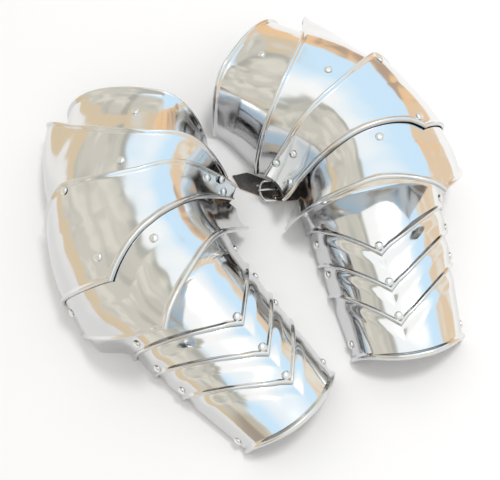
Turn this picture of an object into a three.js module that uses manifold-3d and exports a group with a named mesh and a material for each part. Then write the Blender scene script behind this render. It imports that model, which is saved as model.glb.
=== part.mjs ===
// A pair of articulated plate arm guards, lying on a table with the open side down.
// Millimetres, +Z up, origin on the table under the middle of the pair.
import * as THREE from 'three';
import { mergeVertices } from 'three/addons/utils/BufferGeometryUtils.js';
import Module from 'manifold-3d';

const wasm = await Module();
wasm.setup();

// Sheet metal, and the air between a plate and the one it slides over
const plateThickness = 1.2;
const plateGap = 0.9;
const touchGap = 0.3;
const layerStep = plateThickness + plateGap;

// Elbow: every lame is turned about one upright axis, so that they slide inside each other
const elbowRadius = 112;
const elbowArch = { outer: 94, inner: 66, height: 102 };
const archPower = 0.89;

// Upper cannon, from where it leaves the round part of the elbow
const cannonStart = -25;
const cannonLength = 82;
const cannonArch = { outer: 103, inner: 42, height: 76 };
const cannonBulge = 4;
const cannonSlant = 1;

// Forearm, from where it leaves the round part of the elbow
const forearmStart = 65;
const forearmShoulder = 26;
const shoulderArch = { outer: 74, inner: 63, height: 66 };
const wristRun = 166;
const wristArch = { outer: 50, inner: 51, height: 43 };
const wristBulge = 16;

// Beaded and rolled edges: distance from the edge, height over the plate
const beadAt = [0, 1.7, 3.9];
const beadRise = [0.7, 1.6, 0];
const rollAt = [0, 2.6, 6.2];
const rollRise = [1.2, 2.7, 0];

// Edges of the elbow lames, in degrees about the elbow axis at each place round the arch.
// The two arms were fitted by hand, so the plates of one reach further up at the crook than the other's.
const edgePlaces = [-72, -60, -30, 0, 20];
const upperLameEdge = { cusp: 80, tip: -31, side: -30, flare: 30, spread: 20, reach: 0.8 };
const couterTopEdge = { cusp: 40, tip: -6.5, side: 0, flare: 4, spread: 22, reach: 0.4 };
const couterLowEdge = { cusp: 30, tip: 28.5, side: 18, flare: 2, spread: 22, reach: 0.4 };
const lowerLameEdge = { cusp: 30, tip: 54, side: 28, flare: 9, spread: 20, reach: 0.7 };
const leftEdges = {
  upperLame: { at: [-49, -46, -40, -29, -26.5], ...upperLameEdge },
  couterTop: { at: [-38, -31, -18.5, -8.5, -6], ...couterTopEdge },
  couterLow: { at: [-4, 2, 12, 19, 25], ...couterLowEdge },
  lowerLame: { at: [50, 52.5, 50.5, 51, 52.5], ...lowerLameEdge },
};
const rightEdges = {
  upperLame: { at: [-44, -41, -33, -28.5, -27], ...upperLameEdge },
  couterTop: { at: [-27, -17, -12.5, -8, -6], ...couterTopEdge },
  couterLow: { at: [48, 28, 23.5, 21.5, 23], ...couterLowEdge },
  lowerLame: { at: [50, 52.5, 50.5, 51, 52.5], ...lowerLameEdge },
};

// The couter's end at the crook stands out over the strap like a wing
const wing = { lift: 16, from: -45, end: -72 };

// The upper lame's end at the crook stays clear of the table
const upperLameEnd = -82;

// Forearm lames: run of each pointed edge at the two sides and at the tip
const chevronTip = -10;
const chevronPower = 1.4;
const chevrons = [
  { crook: 31, elbow: 33, tip: 87 },
  { crook: 68, elbow: 59, tip: 121 },
  { crook: 100, elbow: 92, tip: 152 },
];
const lameOverlap = 18;
const lameSideOverlap = 11;
const lameRise = 14;

// Rivets
const rivetHead = 3.5;
const rivetDome = 2;
const rivetShank = 2;
const rivetWasher = 3.8;
const rivetWasherThickness = 0.9;
const rivetRoot = 0.6;
const slotClearance = 0.35;
const cutDepth = 6;
const rayReach = 12;
const rimRays = 6;
const holeSteps = 3;
const slideSteps = 4;

// Places of the sliding rivets on the outer plate of each pair
const slides = {
  upper_top: { turn: -10.8, place: 7 },
  upper_side: { turn: -6, place: 74 },
  couter_upper: { turn: -2.8, place: 38 },
  couter_lower: { turn: 22.6, place: 29 },
  lower_top: { turn: 29, place: 2 },
  lower_side: { turn: 24, place: 77 },
};

// Fixed rivets: stations in millimetres from the start of the cannon or the forearm, places in degrees
const tipRivetBack = 9.5;
const elbowSideRivets = [{ run: 31, place: 62 }, { run: 58, place: 70 }, { run: 87, place: 71 }];
const crookSideRivets = [{ run: 15, place: -76 }, { run: 48, place: -76 }, { run: 80, place: -76 }];
const wristRivets = [{ run: 152, place: 77 }, { run: 150, place: -78 }];
const cannonRivet = { run: -57, place: 8 };

// Leather and buckles
const leatherThickness = 2;
const strapWidth = 20;
const wristStrapWidth = 15;
const buckleWire = 1.5;
const buckleReach = 15;
const prongWidth = 2.4;
const floorGap = 0.35;
const strapHole = 1.6;
const leatherSeat = 0.95;
const chapeShare = 0.76;
const chapePull = 30;
const wristBarHeight = 4.6;
const bowSteps = 8;
const bowShoulderShare = 0.35;
const bowRoundness = 0.7;
const prongWall = 1.6;
const prongTip = 2.4;
const prongTaper = 0.15;
const notchShift = 0.4;

// How far each joint of the elbow turns, in degrees from the pose of the straighter arm
const travel = {
  upper: [0, 6],
  couter: [-1, 3.5],
  lower: [-1.5, 2.5],
  forearm: [-2.5, 1.5],
};

// Middle of the box round both arms as they lie
const pairMiddle = { x: -0.525, y: 22.861 };

const columns = 18;
const rightAngle = Math.PI / 2;
const radians = (degrees) => THREE.MathUtils.degToRad(degrees);

// The two arms: where the elbow axis stands, which way the upper arm points and how far each joint is bent
const arms = [
  {
    prefix: 'left_', side: 1, edges: leftEdges, lowerTab: { lift: 18, from: -45, end: -82 }, axisX: 12, axisY: 24, heading: 5.7, bend: [2.5, 0, 0, 0],
    strapRivets: [{ turn: -17, place: -53 }, { turn: -26, place: -62 }, { turn: -12, place: -66 }],
    elbowStrap: {
      chapeTurn: -26, strapTurn: 9.4, bar: { x: -43.5, y: 42 }, barHeight: 4.6, heading: 163,
      route: [[-169.5, -32], [-131, -20.4], [-100, -10.7], [-84, -5.7], [-72, -2, 0.1]], holes: [[-90, -7.5], [-102, -11.3]],
    },
    wristStrap: { run: 150, bend: 14, barBack: 16, clear: 6 },
  },
  {
    prefix: 'right_', side: -1, edges: rightEdges, lowerTab: { lift: 7, from: -45, end: -86 }, axisX: 4, axisY: 23, heading: 50.3, bend: [4.5, 2.1, -0.7, -0.8],
    strapRivets: [{ turn: 0, place: -54 }, { turn: -14, place: -64 }, { turn: 22, place: -66 }],
    elbowStrap: {
      chapeTurn: 10, strapTurn: 9.4, bar: { x: 25.5, y: 53 }, barHeight: 6.6, heading: 185,
      route: [[160, 131], [127.3, 104.7], [92, 76], [72, 64.5], [55.6, 56.1], [34, 53.2], [20, 56.4],
        [-1.8, 65.2], [-18, 72.5, 0.1]],
      holes: [[8, 61.5]],
    },
    wristStrap: { run: 150, bend: 14, barBack: 16, clear: 6 },
  },
];

const steel = new THREE.MeshStandardMaterial({ color: 0xc9c9c6, roughness: 0.14, metalness: 1 });
const rivetSteel = new THREE.MeshStandardMaterial({ color: 0xd8d8d4, roughness: 0.2, metalness: 1 });
const buckleSteel = new THREE.MeshStandardMaterial({ color: 0xb4b2ac, roughness: 0.25, metalness: 1 });
const leather = new THREE.MeshStandardMaterial({ color: 0x2b2623, roughness: 0.62, metalness: 0 });
const bothSides = new THREE.MeshBasicMaterial({ side: THREE.DoubleSide });

const blend = (from, to, share) => from + (to - from) * share;
const clamp = THREE.MathUtils.clamp;
const easeShare = (share) => share * share * (3 - 2 * share);

// A smooth curve through the values of a table
function smoothAt(knots, values, x) {
  const last = knots.length - 1;
  let i = 0;
  while (i < last - 1 && x > knots[i + 1]) i += 1;
  const slope = (k) => {
    const low = Math.max(k - 1, 0);
    const high = Math.min(k + 1, last);
    return (values[high] - values[low]) / (knots[high] - knots[low]);
  };
  const width = knots[i + 1] - knots[i];
  const t = clamp((x - knots[i]) / width, 0, 1);
  const t2 = t * t;
  const t3 = t2 * t;
  return (2 * t3 - 3 * t2 + 1) * values[i] + (t3 - 2 * t2 + t) * width * slope(i)
    + (3 * t2 - 2 * t3) * values[i + 1] + (t3 - t2) * width * slope(i + 1);
}

// Turn of an elbow edge at a place round the arch, both in degrees
function edgeTurn(edge, place) {
  if (place <= edge.cusp) return smoothAt([...edgePlaces, edge.cusp], [...edge.at, edge.tip], place);
  const share = (place - edge.cusp) / (90 - edge.cusp);
  return blend(edge.tip, edge.side, share ** 0.8);
}

// A point of the arch: how far across and how high, with a lift off the inner skin
function archPoint(arch, place, lift) {
  const beta = radians(place);
  const reach = place > 0 ? arch.outer : arch.inner;
  const across = Math.sign(place) * Math.abs(Math.sin(beta)) ** archPower * (reach + lift);
  const height = Math.max(Math.cos(beta), 0) ** archPower * (arch.height + lift);
  return { across, height: Math.abs(place) === 90 ? 0 : height };
}

function mixArch(from, to, share) {
  return {
    outer: blend(from.outer, to.outer, share),
    inner: blend(from.inner, to.inner, share),
    height: blend(from.height, to.height, share),
  };
}

// Where a station along the arm lies: turn about the elbow axis, then a straight run
const stations = {
  elbow: (along) => ({ turn: along / elbowRadius, run: 0, arch: elbowArch }),
  cannon: (along) => {
    if (along >= cannonStart) return stations.elbow(along);
    const share = easeShare(clamp((cannonStart - along) / cannonLength, 0, 1));
    return {
      turn: cannonStart / elbowRadius,
      run: along - cannonStart,
      arch: mixArch(elbowArch, cannonArch, share),
    };
  },
  forearm: (along) => {
    if (along <= forearmStart) return stations.elbow(along);
    const run = along - forearmStart;
    const near = easeShare(clamp(run / forearmShoulder, 0, 1));
    const far = clamp((run - forearmShoulder) / (wristRun - forearmShoulder), 0, 2);
    const arch = far > 0 ? mixArch(shoulderArch, wristArch, far) : mixArch(elbowArch, shoulderArch, near);
    return { turn: forearmStart / elbowRadius, run, arch };
  },
};

function skinPoint(arm, joint, kind, along, place, lift) {
  const { turn, run, arch } = stations[kind](along);
  const { across, height } = archPoint(arch, place, lift);
  const angle = radians(arm.heading) + arm.side * (turn + joint);
  const radius = elbowRadius + across;
  const x = arm.axisX - arm.side * radius * Math.cos(angle) + run * Math.sin(angle);
  const y = arm.axisY - arm.side * radius * Math.sin(angle) - run * Math.cos(angle);
  return new THREE.Vector3(x, y, height);
}

// Closed meshes
function closedGeometry(points, faces) {
  let volume = 0;
  for (const [a, b, c] of faces) volume += points[a].dot(points[b].clone().cross(points[c]));
  const order = volume > 0 ? faces : faces.map(([a, b, c]) => [a, c, b]);
  const geometry = new THREE.BufferGeometry();
  geometry.setAttribute('position', new THREE.Float32BufferAttribute(points.flatMap((p) => p.toArray()), 3));
  geometry.setIndex(order.flat());
  return geometry;
}

// A plate from its outer and inner grids of points
function plateGeometry(outer, inner) {
  const rows = outer.length;
  const width = outer[0].length;
  const points = [...outer.flat(), ...inner.flat()];
  const top = (i, j) => i * width + j;
  const low = (i, j) => rows * width + top(i, j);
  const faces = [];
  const quad = (a, b, c, d) => faces.push([a, b, c], [a, c, d]);
  for (let i = 0; i < rows - 1; i += 1) {
    for (let j = 0; j < width - 1; j += 1) {
      quad(top(i, j), top(i, j + 1), top(i + 1, j + 1), top(i + 1, j));
      quad(low(i, j), low(i + 1, j), low(i + 1, j + 1), low(i, j + 1));
    }
    quad(top(i, 0), top(i + 1, 0), low(i + 1, 0), low(i, 0));
    quad(top(i, width - 1), low(i, width - 1), low(i + 1, width - 1), top(i + 1, width - 1));
  }
  for (let j = 0; j < width - 1; j += 1) {
    quad(top(0, j), low(0, j), low(0, j + 1), top(0, j + 1));
    quad(top(rows - 1, j), top(rows - 1, j + 1), low(rows - 1, j + 1), low(rows - 1, j));
  }
  return closedGeometry(points, faces);
}

function asManifold(geometry) {
  const bare = geometry.clone();
  bare.deleteAttribute('normal');
  bare.deleteAttribute('uv');
  const merged = mergeVertices(bare, plateGap / 1000);
  return new wasm.Manifold(new wasm.Mesh({
    numProp: 3,
    vertProperties: new Float32Array(merged.attributes.position.array),
    triVerts: new Uint32Array(merged.index.array),
  }));
}

function fromManifold(solid) {
  const mesh = solid.getMesh();
  const geometry = new THREE.BufferGeometry();
  geometry.setAttribute('position', new THREE.Float32BufferAttribute(mesh.vertProperties, mesh.numProp));
  geometry.setIndex(new THREE.Uint32BufferAttribute(mesh.triVerts, 1));
  return geometry;
}

function named(name, geometry, material) {
  const mesh = new THREE.Mesh(geometry, material);
  geometry.computeVertexNormals();
  mesh.name = name;
  return mesh;
}

// Rows of a plate: plain rows between two edges, with a bead or roll along either
function plateRows(plain, upperBead, lowerBead) {
  const rows = [];
  const upper = upperBead ?? { at: [0], rise: [0] };
  const lower = lowerBead ?? { at: [0], rise: [0] };
  upper.at.forEach((at, i) => rows.push({ share: 0, shift: at, rise: upper.rise[i] }));
  for (let i = 1; i < plain; i += 1) rows.push({ share: i / plain, shift: 0, rise: 0 });
  [...lower.at].reverse().forEach((at, i) => {
    rows.push({ share: 1, shift: -at, rise: lower.rise[lower.at.length - 1 - i] });
  });
  const upperWidth = upper.at[upper.at.length - 1];
  const lowerWidth = lower.at[lower.at.length - 1];
  return { rows, upperWidth, lowerWidth };
}

const bead = { at: beadAt, rise: beadRise };
const roll = { at: rollAt, rise: rollRise };

// A plate between two edge curves
function buildPlate(arm, joint, spec) {
  const { rows, upperWidth, lowerWidth } = plateRows(spec.plain, spec.upperBead, spec.lowerBead);
  const outer = [];
  const inner = [];
  const step = 180 / columns;
  const places = Array.from({ length: columns + 1 }, (_, j) => -90 + step * j);
  if (spec.firstPlace) places.splice(0, places.findIndex((place) => place > spec.firstPlace + step / 2), spec.firstPlace);
  for (const row of rows) {
    const outerRow = [];
    const innerRow = [];
    for (const place of places) {
      const top = spec.upper(place);
      const low = spec.lower(place);
      const stretch = spec.kind === 'elbow' ? elbowRadius / (elbowRadius + archPoint(elbowArch, place, 0).across) : 1;
      let along = row.share === 0 ? top : low;
      along += row.shift * stretch;
      if (row.share > 0 && row.share < 1) {
        along = blend(top + upperWidth * stretch, low - lowerWidth * stretch, row.share);
      }
      const lift = spec.lift(along, place);
      innerRow.push(skinPoint(arm, joint, spec.kind, along, place, lift));
      outerRow.push(skinPoint(arm, joint, spec.kind, along, place, lift + plateThickness + row.rise));
    }
    outer.push(outerRow);
    inner.push(innerRow);
  }
  return asManifold(plateGeometry(outer, inner));
}

// A rounded slot swept by a rivet as its plate turns, or a round hole where it doesn't turn
function slotCutter(frame, arm, fromAngle, toAngle) {
  const ring = [];
  const corner = (angle, turn) => ring.push({ x: Math.cos(angle) * holeRadius, y: Math.sin(angle) * holeRadius, turn });
  for (let i = 0; i <= holeSteps; i += 1) corner(-rightAngle + (Math.PI * i) / holeSteps, toAngle);
  corner(rightAngle, (fromAngle + toAngle) / 2);
  for (let i = 0; i <= holeSteps; i += 1) corner(rightAngle + (Math.PI * i) / holeSteps, fromAngle);
  corner(-rightAngle, (fromAngle + toAngle) / 2);
  const outline = toAngle > fromAngle ? ring : ring.filter((_, i) => i !== holeSteps + 1 && i !== 2 * holeSteps + 3
    && i !== holeSteps + 2 && i !== 2 * holeSteps + 2);
  const level = (z) => outline.map(({ x, y, turn }) => (
    new THREE.Vector3(x, y, z).applyMatrix4(carried(frame, arm, turn))));
  const count = outline.length;
  const faces = [];
  for (let i = 0; i < count; i += 1) {
    const next = (i + 1) % count;
    faces.push([i, next, count + next], [i, count + next, count + i]);
    if (i > 0 && i < count - 1) faces.push([0, i + 1, i], [count, count + i, count + i + 1]);
  }
  return asManifold(closedGeometry([...level(-cutDepth), ...level(cutDepth)], faces));
}

// A frame on the skin: X along the arm, Z out of the plate
function skinFrame(arm, joint, kind, along, place, lift) {
  const step = plateThickness / 4;
  const at = skinPoint(arm, joint, kind, along, place, lift);
  const on = skinPoint(arm, joint, kind, along + step, place, lift).sub(at).normalize();
  const round = skinPoint(arm, joint, kind, along, place + 0.2, lift).sub(at);
  const out = skinPoint(arm, joint, kind, along, place, lift + step).sub(at);
  const normal = on.clone().cross(round).normalize();
  if (normal.dot(out) < 0) normal.negate();
  const across = normal.clone().cross(on);
  return new THREE.Matrix4().makeBasis(on, across, normal).setPosition(at);
}

// The frame carried round the elbow axis
function carried(frame, arm, angle) {
  const away = new THREE.Matrix4().makeTranslation(-arm.axisX, -arm.axisY, 0);
  const back = new THREE.Matrix4().makeTranslation(arm.axisX, arm.axisY, 0);
  return back.multiply(new THREE.Matrix4().makeRotationZ(arm.side * angle)).multiply(away).multiply(frame);
}

// Heights over a frame at which its axis meets a plate, at the middle and round a rim
function heightsOn(plate, frame, rim) {
  const found = [];
  const normal = new THREE.Vector3().setFromMatrixColumn(frame, 2);
  for (let i = 0; i <= rimRays; i += 1) {
    const angle = (2 * Math.PI * i) / rimRays;
    const radius = i === rimRays ? 0 : rim;
    const from = new THREE.Vector3(radius * Math.cos(angle), radius * Math.sin(angle), rayReach).applyMatrix4(frame);
    const ray = new THREE.Raycaster(from, normal.clone().negate(), 0, 2 * rayReach);
    for (const hit of ray.intersectObject(plate)) found.push(rayReach - hit.distance);
  }
  return found;
}

function lathe(profile, segments) {
  const points = profile.map(([r, z]) => new THREE.Vector2(r, z));
  const geometry = new THREE.LatheGeometry(points, segments);
  geometry.rotateX(rightAngle);
  return geometry;
}

const headProfile = [[0, rivetDome], [rivetHead * 0.62, rivetDome * 0.8]];

// A rivet from its washer's seat under the plates to its head's seat on top
function rivetGeometry(frame, low, high) {
  const seat = high + touchGap;
  const back = low - touchGap;
  const profile = [
    ...headProfile.map(([r, z]) => [r, z + seat]), [rivetHead, seat], [rivetShank, seat], [rivetShank, back],
    [rivetWasher, back], [rivetWasher, back - rivetWasherThickness], [0, back - rivetWasherThickness],
  ].reverse();
  return lathe(profile, 8).applyMatrix4(frame);
}

function fusedHead(frame, high) {
  const profile = [...headProfile, [rivetHead, -rivetRoot / 4], [rivetHead, -rivetRoot], [0, -rivetRoot]].reverse();
  return asManifold(lathe(profile.map(([r, z]) => [r, z + high]), 8).applyMatrix4(frame));
}

// Plates of one arm: joint number, station kind, edges, lift of the inner skin
const toAlong = (degrees) => elbowRadius * radians(degrees);
const toTurn = (along) => THREE.MathUtils.radToDeg(along / elbowRadius);
const edgeAlong = (edge) => (place) => toAlong(edgeTurn(edge, place));
const lift0 = () => 0;
const flareAt = (edge, place, near) => edge.flare * Math.exp(-(((place - edge.cusp) / edge.spread) ** 2))
  * clamp(near, 0, 1) ** 0.9;

// Lift of a lame: its layer, the flare towards its free edges and the couter's tab at the crook
function lameLayer(base, upperEdge, lowerEdge, next, tab) {
  return (along, place) => {
    let lift = base;
    if (upperEdge) {
      const top = edgeTurn(upperEdge, place);
      const reach = Math.abs(edgeTurn(next.upper, place) - top) * upperEdge.reach;
      lift += flareAt(upperEdge, place, 1 - (toTurn(along) - top) / reach);
    }
    if (lowerEdge) {
      const low = edgeTurn(lowerEdge, place);
      const reach = Math.abs(edgeTurn(next.lower, place) - low) * lowerEdge.reach;
      lift += flareAt(lowerEdge, place, 1 - (low - toTurn(along)) / reach);
    }
    if (tab) lift += tab.lift * clamp((tab.from - place) / (tab.from - tab.end), 0, 1) ** 2;
    return lift;
  };
}

const slotMargin = 3.2;
const lapMargin = 2.6;
const lobeSpread = 19;
const cannonCrook = { from: -4, to: -27 };
const forearmRim = 30;
const lapAfter = (edge, opening) => (place) => toAlong(edgeTurn(edge, place) + opening + lapMargin);
const lapBefore = (edge, opening) => (place) => toAlong(edgeTurn(edge, place) - opening - lapMargin);
const rise = (place, centre, spread) => Math.exp(-(((place - centre) / spread) ** 2));

// Hidden edges reach under the next plate far enough for their slots
function hiddenEdges(edges) {
  const upperLow = (place) => {
    const rivet = slides.couter_upper;
    const base = edgeTurn(edges.couterTop, place) + travel.couter[1] + lapMargin;
    const reach = rivet.turn + travel.couter[1] + slotMargin;
    return toAlong(Math.max(base, blend(base, reach, rise(place, rivet.place, 30))));
  };
  const lowerTop = (place) => {
    const rivet = slides.couter_lower;
    const base = edgeTurn(edges.couterLow, place) - travel.lower[1] - lapMargin;
    const reach = rivet.turn - travel.lower[1] - slotMargin;
    return toAlong(Math.min(base, blend(base, reach, rise(place, rivet.place, 30))));
  };
  return { upperLow, lowerTop };
}

// The cannon and the first forearm lame have a lobe under each of their sliding rivets
const lobe = (place, centre) => Math.exp(-(((place - centre) / lobeSpread) ** 4));

function cannonLow(edges) {
  const { upper_top: top, upper_side: side } = slides;
  return (place) => {
    const lap = edgeTurn(edges.upperLame, Math.max(place, upperLameEnd)) + travel.upper[1] + lapMargin;
    const base = place < 0 ? Math.max(lap, blend(cannonCrook.from, cannonCrook.to, -place / 90)) : lap;
    const topReach = blend(base, top.turn + travel.upper[1] + slotMargin, lobe(place, top.place));
    const sideReach = blend(base, side.turn + travel.upper[1] + slotMargin, lobe(place, side.place));
    return toAlong(Math.max(base, topReach, sideReach));
  };
}

function forearmTop(place) {
  const { lower_top: top, lower_side: side } = slides;
  const topReach = blend(forearmRim, top.turn - travel.forearm[1] - slotMargin, lobe(place, top.place));
  const sideReach = blend(forearmRim, side.turn - travel.forearm[1] - slotMargin, lobe(place, side.place));
  return toAlong(Math.min(topReach, sideReach));
}

function chevronAlong(chevron, place) {
  const onCrook = place < chevronTip;
  const reach = onCrook ? chevronTip + 90 : 90 - chevronTip;
  const share = 1 - Math.abs(place - chevronTip) / reach;
  return forearmStart + blend(onCrook ? chevron.crook : chevron.elbow, chevron.tip, share ** chevronPower);
}

const archBulge = (place) => Math.cos(radians(place)) ** 2;
const cannonTop = (place) => cannonStart - cannonLength - cannonBulge * archBulge(place)
  - cannonSlant * Math.sin(radians(place));
const wristEdge = (place) => forearmStart + wristRun + wristBulge * archBulge(place);

// A forearm lame goes under the one above it and comes up past that one's edge
function lameLift(above) {
  return (along, place) => {
    if (!above) return 0;
    const past = (along - chevronAlong(above, place)) / lameRise;
    return -layerStep * (1 - easeShare(clamp(past, 0, 1)));
  };
}

// How far a forearm lame goes under the one above it
const lapAt = (place) => blend(lameOverlap, lameSideOverlap, Math.min(Math.abs(place - chevronTip) / 80, 1));

function platesOf({ edges, lowerTab }) {
  const { upperLow, lowerTop } = hiddenEdges(edges);
  const { upperLame, couterTop, couterLow, lowerLame } = edges;
  const list = [
    { name: 'upper_cannon', joint: 0, kind: 'cannon', plain: 8, upperBead: roll,
      upper: cannonTop, lower: cannonLow(edges), lift: lift0 },
    { name: 'upper_lame', joint: 1, kind: 'elbow', plain: 7, upperBead: bead, firstPlace: upperLameEnd,
      upper: edgeAlong(upperLame), lower: upperLow,
      lift: lameLayer(layerStep, upperLame, null, { upper: couterTop }, null) },
    { name: 'couter', joint: 2, kind: 'elbow', plain: 8, upperBead: bead, lowerBead: bead, firstPlace: wing.end,
      upper: edgeAlong(couterTop), lower: edgeAlong(couterLow),
      lift: lameLayer(2 * layerStep, couterTop, couterLow, { upper: couterLow, lower: couterTop }, wing) },
    { name: 'lower_lame', joint: 3, kind: 'elbow', plain: 7, lowerBead: bead, firstPlace: lowerTab.end,
      upper: lowerTop, lower: edgeAlong(lowerLame),
      lift: lameLayer(layerStep, null, lowerLame, { lower: couterLow }, lowerTab) },
    { name: 'forearm_lame_1', joint: 4, kind: 'forearm', plain: 8, lowerBead: bead,
      upper: forearmTop, lower: (place) => chevronAlong(chevrons[0], place), lift: lameLift(null) },
  ];
  chevrons.forEach((above, i) => {
    const below = chevrons[i + 1];
    list.push({
      name: below ? `forearm_lame_${i + 2}` : 'wrist_cannon',
      joint: 4,
      kind: 'forearm',
      plain: 4,
      lowerBead: below ? bead : roll,
      upper: (place) => chevronAlong(above, place) - lapAt(place),
      lower: below ? (place) => chevronAlong(below, place) : wristEdge,
      lift: lameLift(above),
    });
  });
  return list;
}

// Which plates each sliding rivet joins, the joint between them, and which way the slot lies from the rivet
const slidePairs = {
  upper_top: { outer: 'upper_lame', inner: 'upper_cannon', bend: 0, range: travel.upper, way: 1 },
  upper_side: { outer: 'upper_lame', inner: 'upper_cannon', bend: 0, range: travel.upper, way: 1 },
  couter_upper: { outer: 'couter', inner: 'upper_lame', bend: 1, range: travel.couter, way: 1 },
  couter_lower: { outer: 'couter', inner: 'lower_lame', bend: 2, range: travel.lower, way: -1 },
  lower_top: { outer: 'lower_lame', inner: 'forearm_lame_1', bend: 3, range: travel.forearm, way: -1 },
  lower_side: { outer: 'lower_lame', inner: 'forearm_lame_1', bend: 3, range: travel.forearm, way: -1 },
};
const holeRadius = rivetShank + slotClearance;

// Rivet heads that are part of a plate
function fixedHeads(arm) {
  const heads = {
    upper_cannon: [{ along: cannonStart + cannonRivet.run, place: cannonRivet.place }],
    couter: arm.strapRivets.map(({ turn, place }) => ({ along: toAlong(turn), place })),
    wrist_cannon: wristRivets.map(({ run, place }) => ({ along: forearmStart + run, place })),
  };
  elbowSideRivets.forEach((rivet, i) => {
    const pair = [rivet, crookSideRivets[i]];
    heads[`forearm_lame_${i + 1}`] = pair.map(({ run, place }) => ({ along: forearmStart + run, place }));
  });
  return heads;
}

// A strip of leather over a grid of points, as thick either side of it
function stripGeometry(grid, thickness) {
  const rows = grid.length;
  const width = grid[0].length;
  const side = (sign) => grid.map((row, i) => row.map((point, j) => {
    const on = grid[Math.min(i + 1, rows - 1)][j].clone().sub(grid[Math.max(i - 1, 0)][j]);
    const over = row[Math.min(j + 1, width - 1)].clone().sub(row[Math.max(j - 1, 0)]);
    return point.clone().addScaledVector(on.cross(over).normalize(), (sign * thickness) / 2);
  }));
  return plateGeometry(side(1), side(-1));
}

// A wire bent along a closed flat route
function wireLoop(route, radius, sides) {
  const points = [];
  const faces = [];
  const count = route.length;
  route.forEach((at, i) => {
    const tangent = route[(i + 1) % count].clone().sub(route[(i + count - 1) % count]).normalize();
    const flat = new THREE.Vector3(-tangent.y, tangent.x, 0);
    for (let k = 0; k < sides; k += 1) {
      const angle = (2 * Math.PI * k) / sides;
      points.push(at.clone().addScaledVector(flat, radius * Math.cos(angle))
        .add(new THREE.Vector3(0, 0, radius * Math.sin(angle))));
    }
  });
  for (let i = 0; i < count; i += 1) {
    for (let k = 0; k < sides; k += 1) {
      const near = (i * sides) + k;
      const nearNext = (i * sides) + ((k + 1) % sides);
      const farRow = ((i + 1) % count) * sides;
      faces.push([near, nearNext, farRow + ((k + 1) % sides)], [near, farRow + ((k + 1) % sides), farRow + k]);
    }
  }
  return closedGeometry(points, faces);
}

// Buckle frame with a straight bar, its prong lying from the bar over the bow
function buckleGeometries(width) {
  const half = width / 2 + buckleWire + touchGap;
  const ring = [new THREE.Vector3(0, -half, 0), new THREE.Vector3(0, half, 0)];
  for (let i = 0; i <= bowSteps; i += 1) {
    const angle = rightAngle - (Math.PI * i) / bowSteps;
    const reach = buckleReach * blend(bowShoulderShare, 1, Math.max(Math.cos(angle), 0) ** bowRoundness);
    ring.push(new THREE.Vector3(reach, half * Math.sin(angle), 0));
  }
  const frame = wireLoop(ring, buckleWire, 6);
  const eye = buckleWire + touchGap;
  const collar = new THREE.CylinderGeometry(eye + prongWall, eye + prongWall, prongWidth, 10);
  const bore = new THREE.CylinderGeometry(eye, eye, prongWidth * 2, 10);
  const seat = buckleWire + touchGap + prongWall / 2;
  const tongue = [[eye * 0.75, seat - prongWall / 4], [buckleReach * 0.6, seat + prongWall / 4],
    [buckleReach, seat], [buckleReach + prongTip, seat - prongWall / 4]];
  const grid = tongue.map(([x, z], i) => [-1, 1].map((end) => (
    new THREE.Vector3(x, (end * prongWidth * (1 - i * prongTaper)) / 2, z))));
  const prong = asManifold(collar).add(asManifold(stripGeometry(grid, prongWall))).subtract(asManifold(bore));
  return { frame, prong: fromManifold(prong) };
}

// A smooth line between two points that leaves and arrives along two directions
function bridge(from, leave, to, arrive, share) {
  const t2 = share * share;
  const t3 = t2 * share;
  return from.clone().multiplyScalar(2 * t3 - 3 * t2 + 1).addScaledVector(leave, t3 - 2 * t2 + share)
    .addScaledVector(to, 3 * t2 - 2 * t3).addScaledVector(arrive, t3 - t2);
}

const acrossStrip = [-1, 0, 1];

// The rows of a leather strip along the inside of a plate, from place to place
function liningRows(arm, joint, plate, middle, width, places) {
  return places.map((place) => {
    const lift = plate.lift(middle, place) - leatherSeat - leatherThickness / 2;
    const spot = skinPoint(arm, joint, plate.kind, middle, place, lift);
    const beside = skinPoint(arm, joint, plate.kind, middle + 1, place, lift);
    const scale = width / 2 / beside.distanceTo(spot);
    return acrossStrip.map((end) => {
      const along = middle + end * scale;
      return skinPoint(arm, joint, plate.kind, along, place, plate.lift(along, place) - leatherSeat - leatherThickness / 2);
    });
  });
}

// Leather from its lining rows to rows further on
function joinRows(lining, target, direction, steps, pull) {
  const last = lining[lining.length - 1];
  const before = lining[lining.length - 2];
  const rows = [];
  for (let i = 1; i < steps; i += 1) {
    rows.push(last.map((point, j) => {
      const leave = point.clone().sub(before[j]).normalize().multiplyScalar(pull);
      return bridge(point, leave, target[j], direction.clone().multiplyScalar(pull), i / steps);
    }));
  }
  return rows;
}

// Chape: leather from inside the plate, round the buckle's bar and back over itself
function chapeGeometry(lining, frame, width) {
  const loop = buckleWire + touchGap + leatherThickness / 2;
  const row = (x, z) => acrossStrip.map((end) => new THREE.Vector3(x, (end * width) / 2, z).applyMatrix4(frame));
  const ahead = new THREE.Vector3().setFromMatrixColumn(frame, 0);
  const flip = lining[0][2].clone().sub(lining[0][0]).dot(new THREE.Vector3().setFromMatrixColumn(frame, 1)) < 0;
  const straight = flip ? lining.map((points) => [...points].reverse()) : lining;
  const rows = [...straight];
  const start = row(-loop, -loop);
  rows.push(...joinRows(straight, start, ahead, 6, chapePull), start);
  for (let i = 0; i <= 6; i += 1) {
    const angle = -rightAngle + (Math.PI * i) / 6;
    rows.push(row(loop * Math.cos(angle), loop * Math.sin(angle)));
  }
  rows.push(row(-loop, loop));
  const notch = new THREE.BoxGeometry(loop * 4, prongWidth + 4 * touchGap, loop * 4);
  notch.translate(loop * notchShift, 0, 0);
  return asManifold(stripGeometry(rows, leatherThickness)).subtract(asManifold(notch.applyMatrix4(frame)));
}

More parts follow.
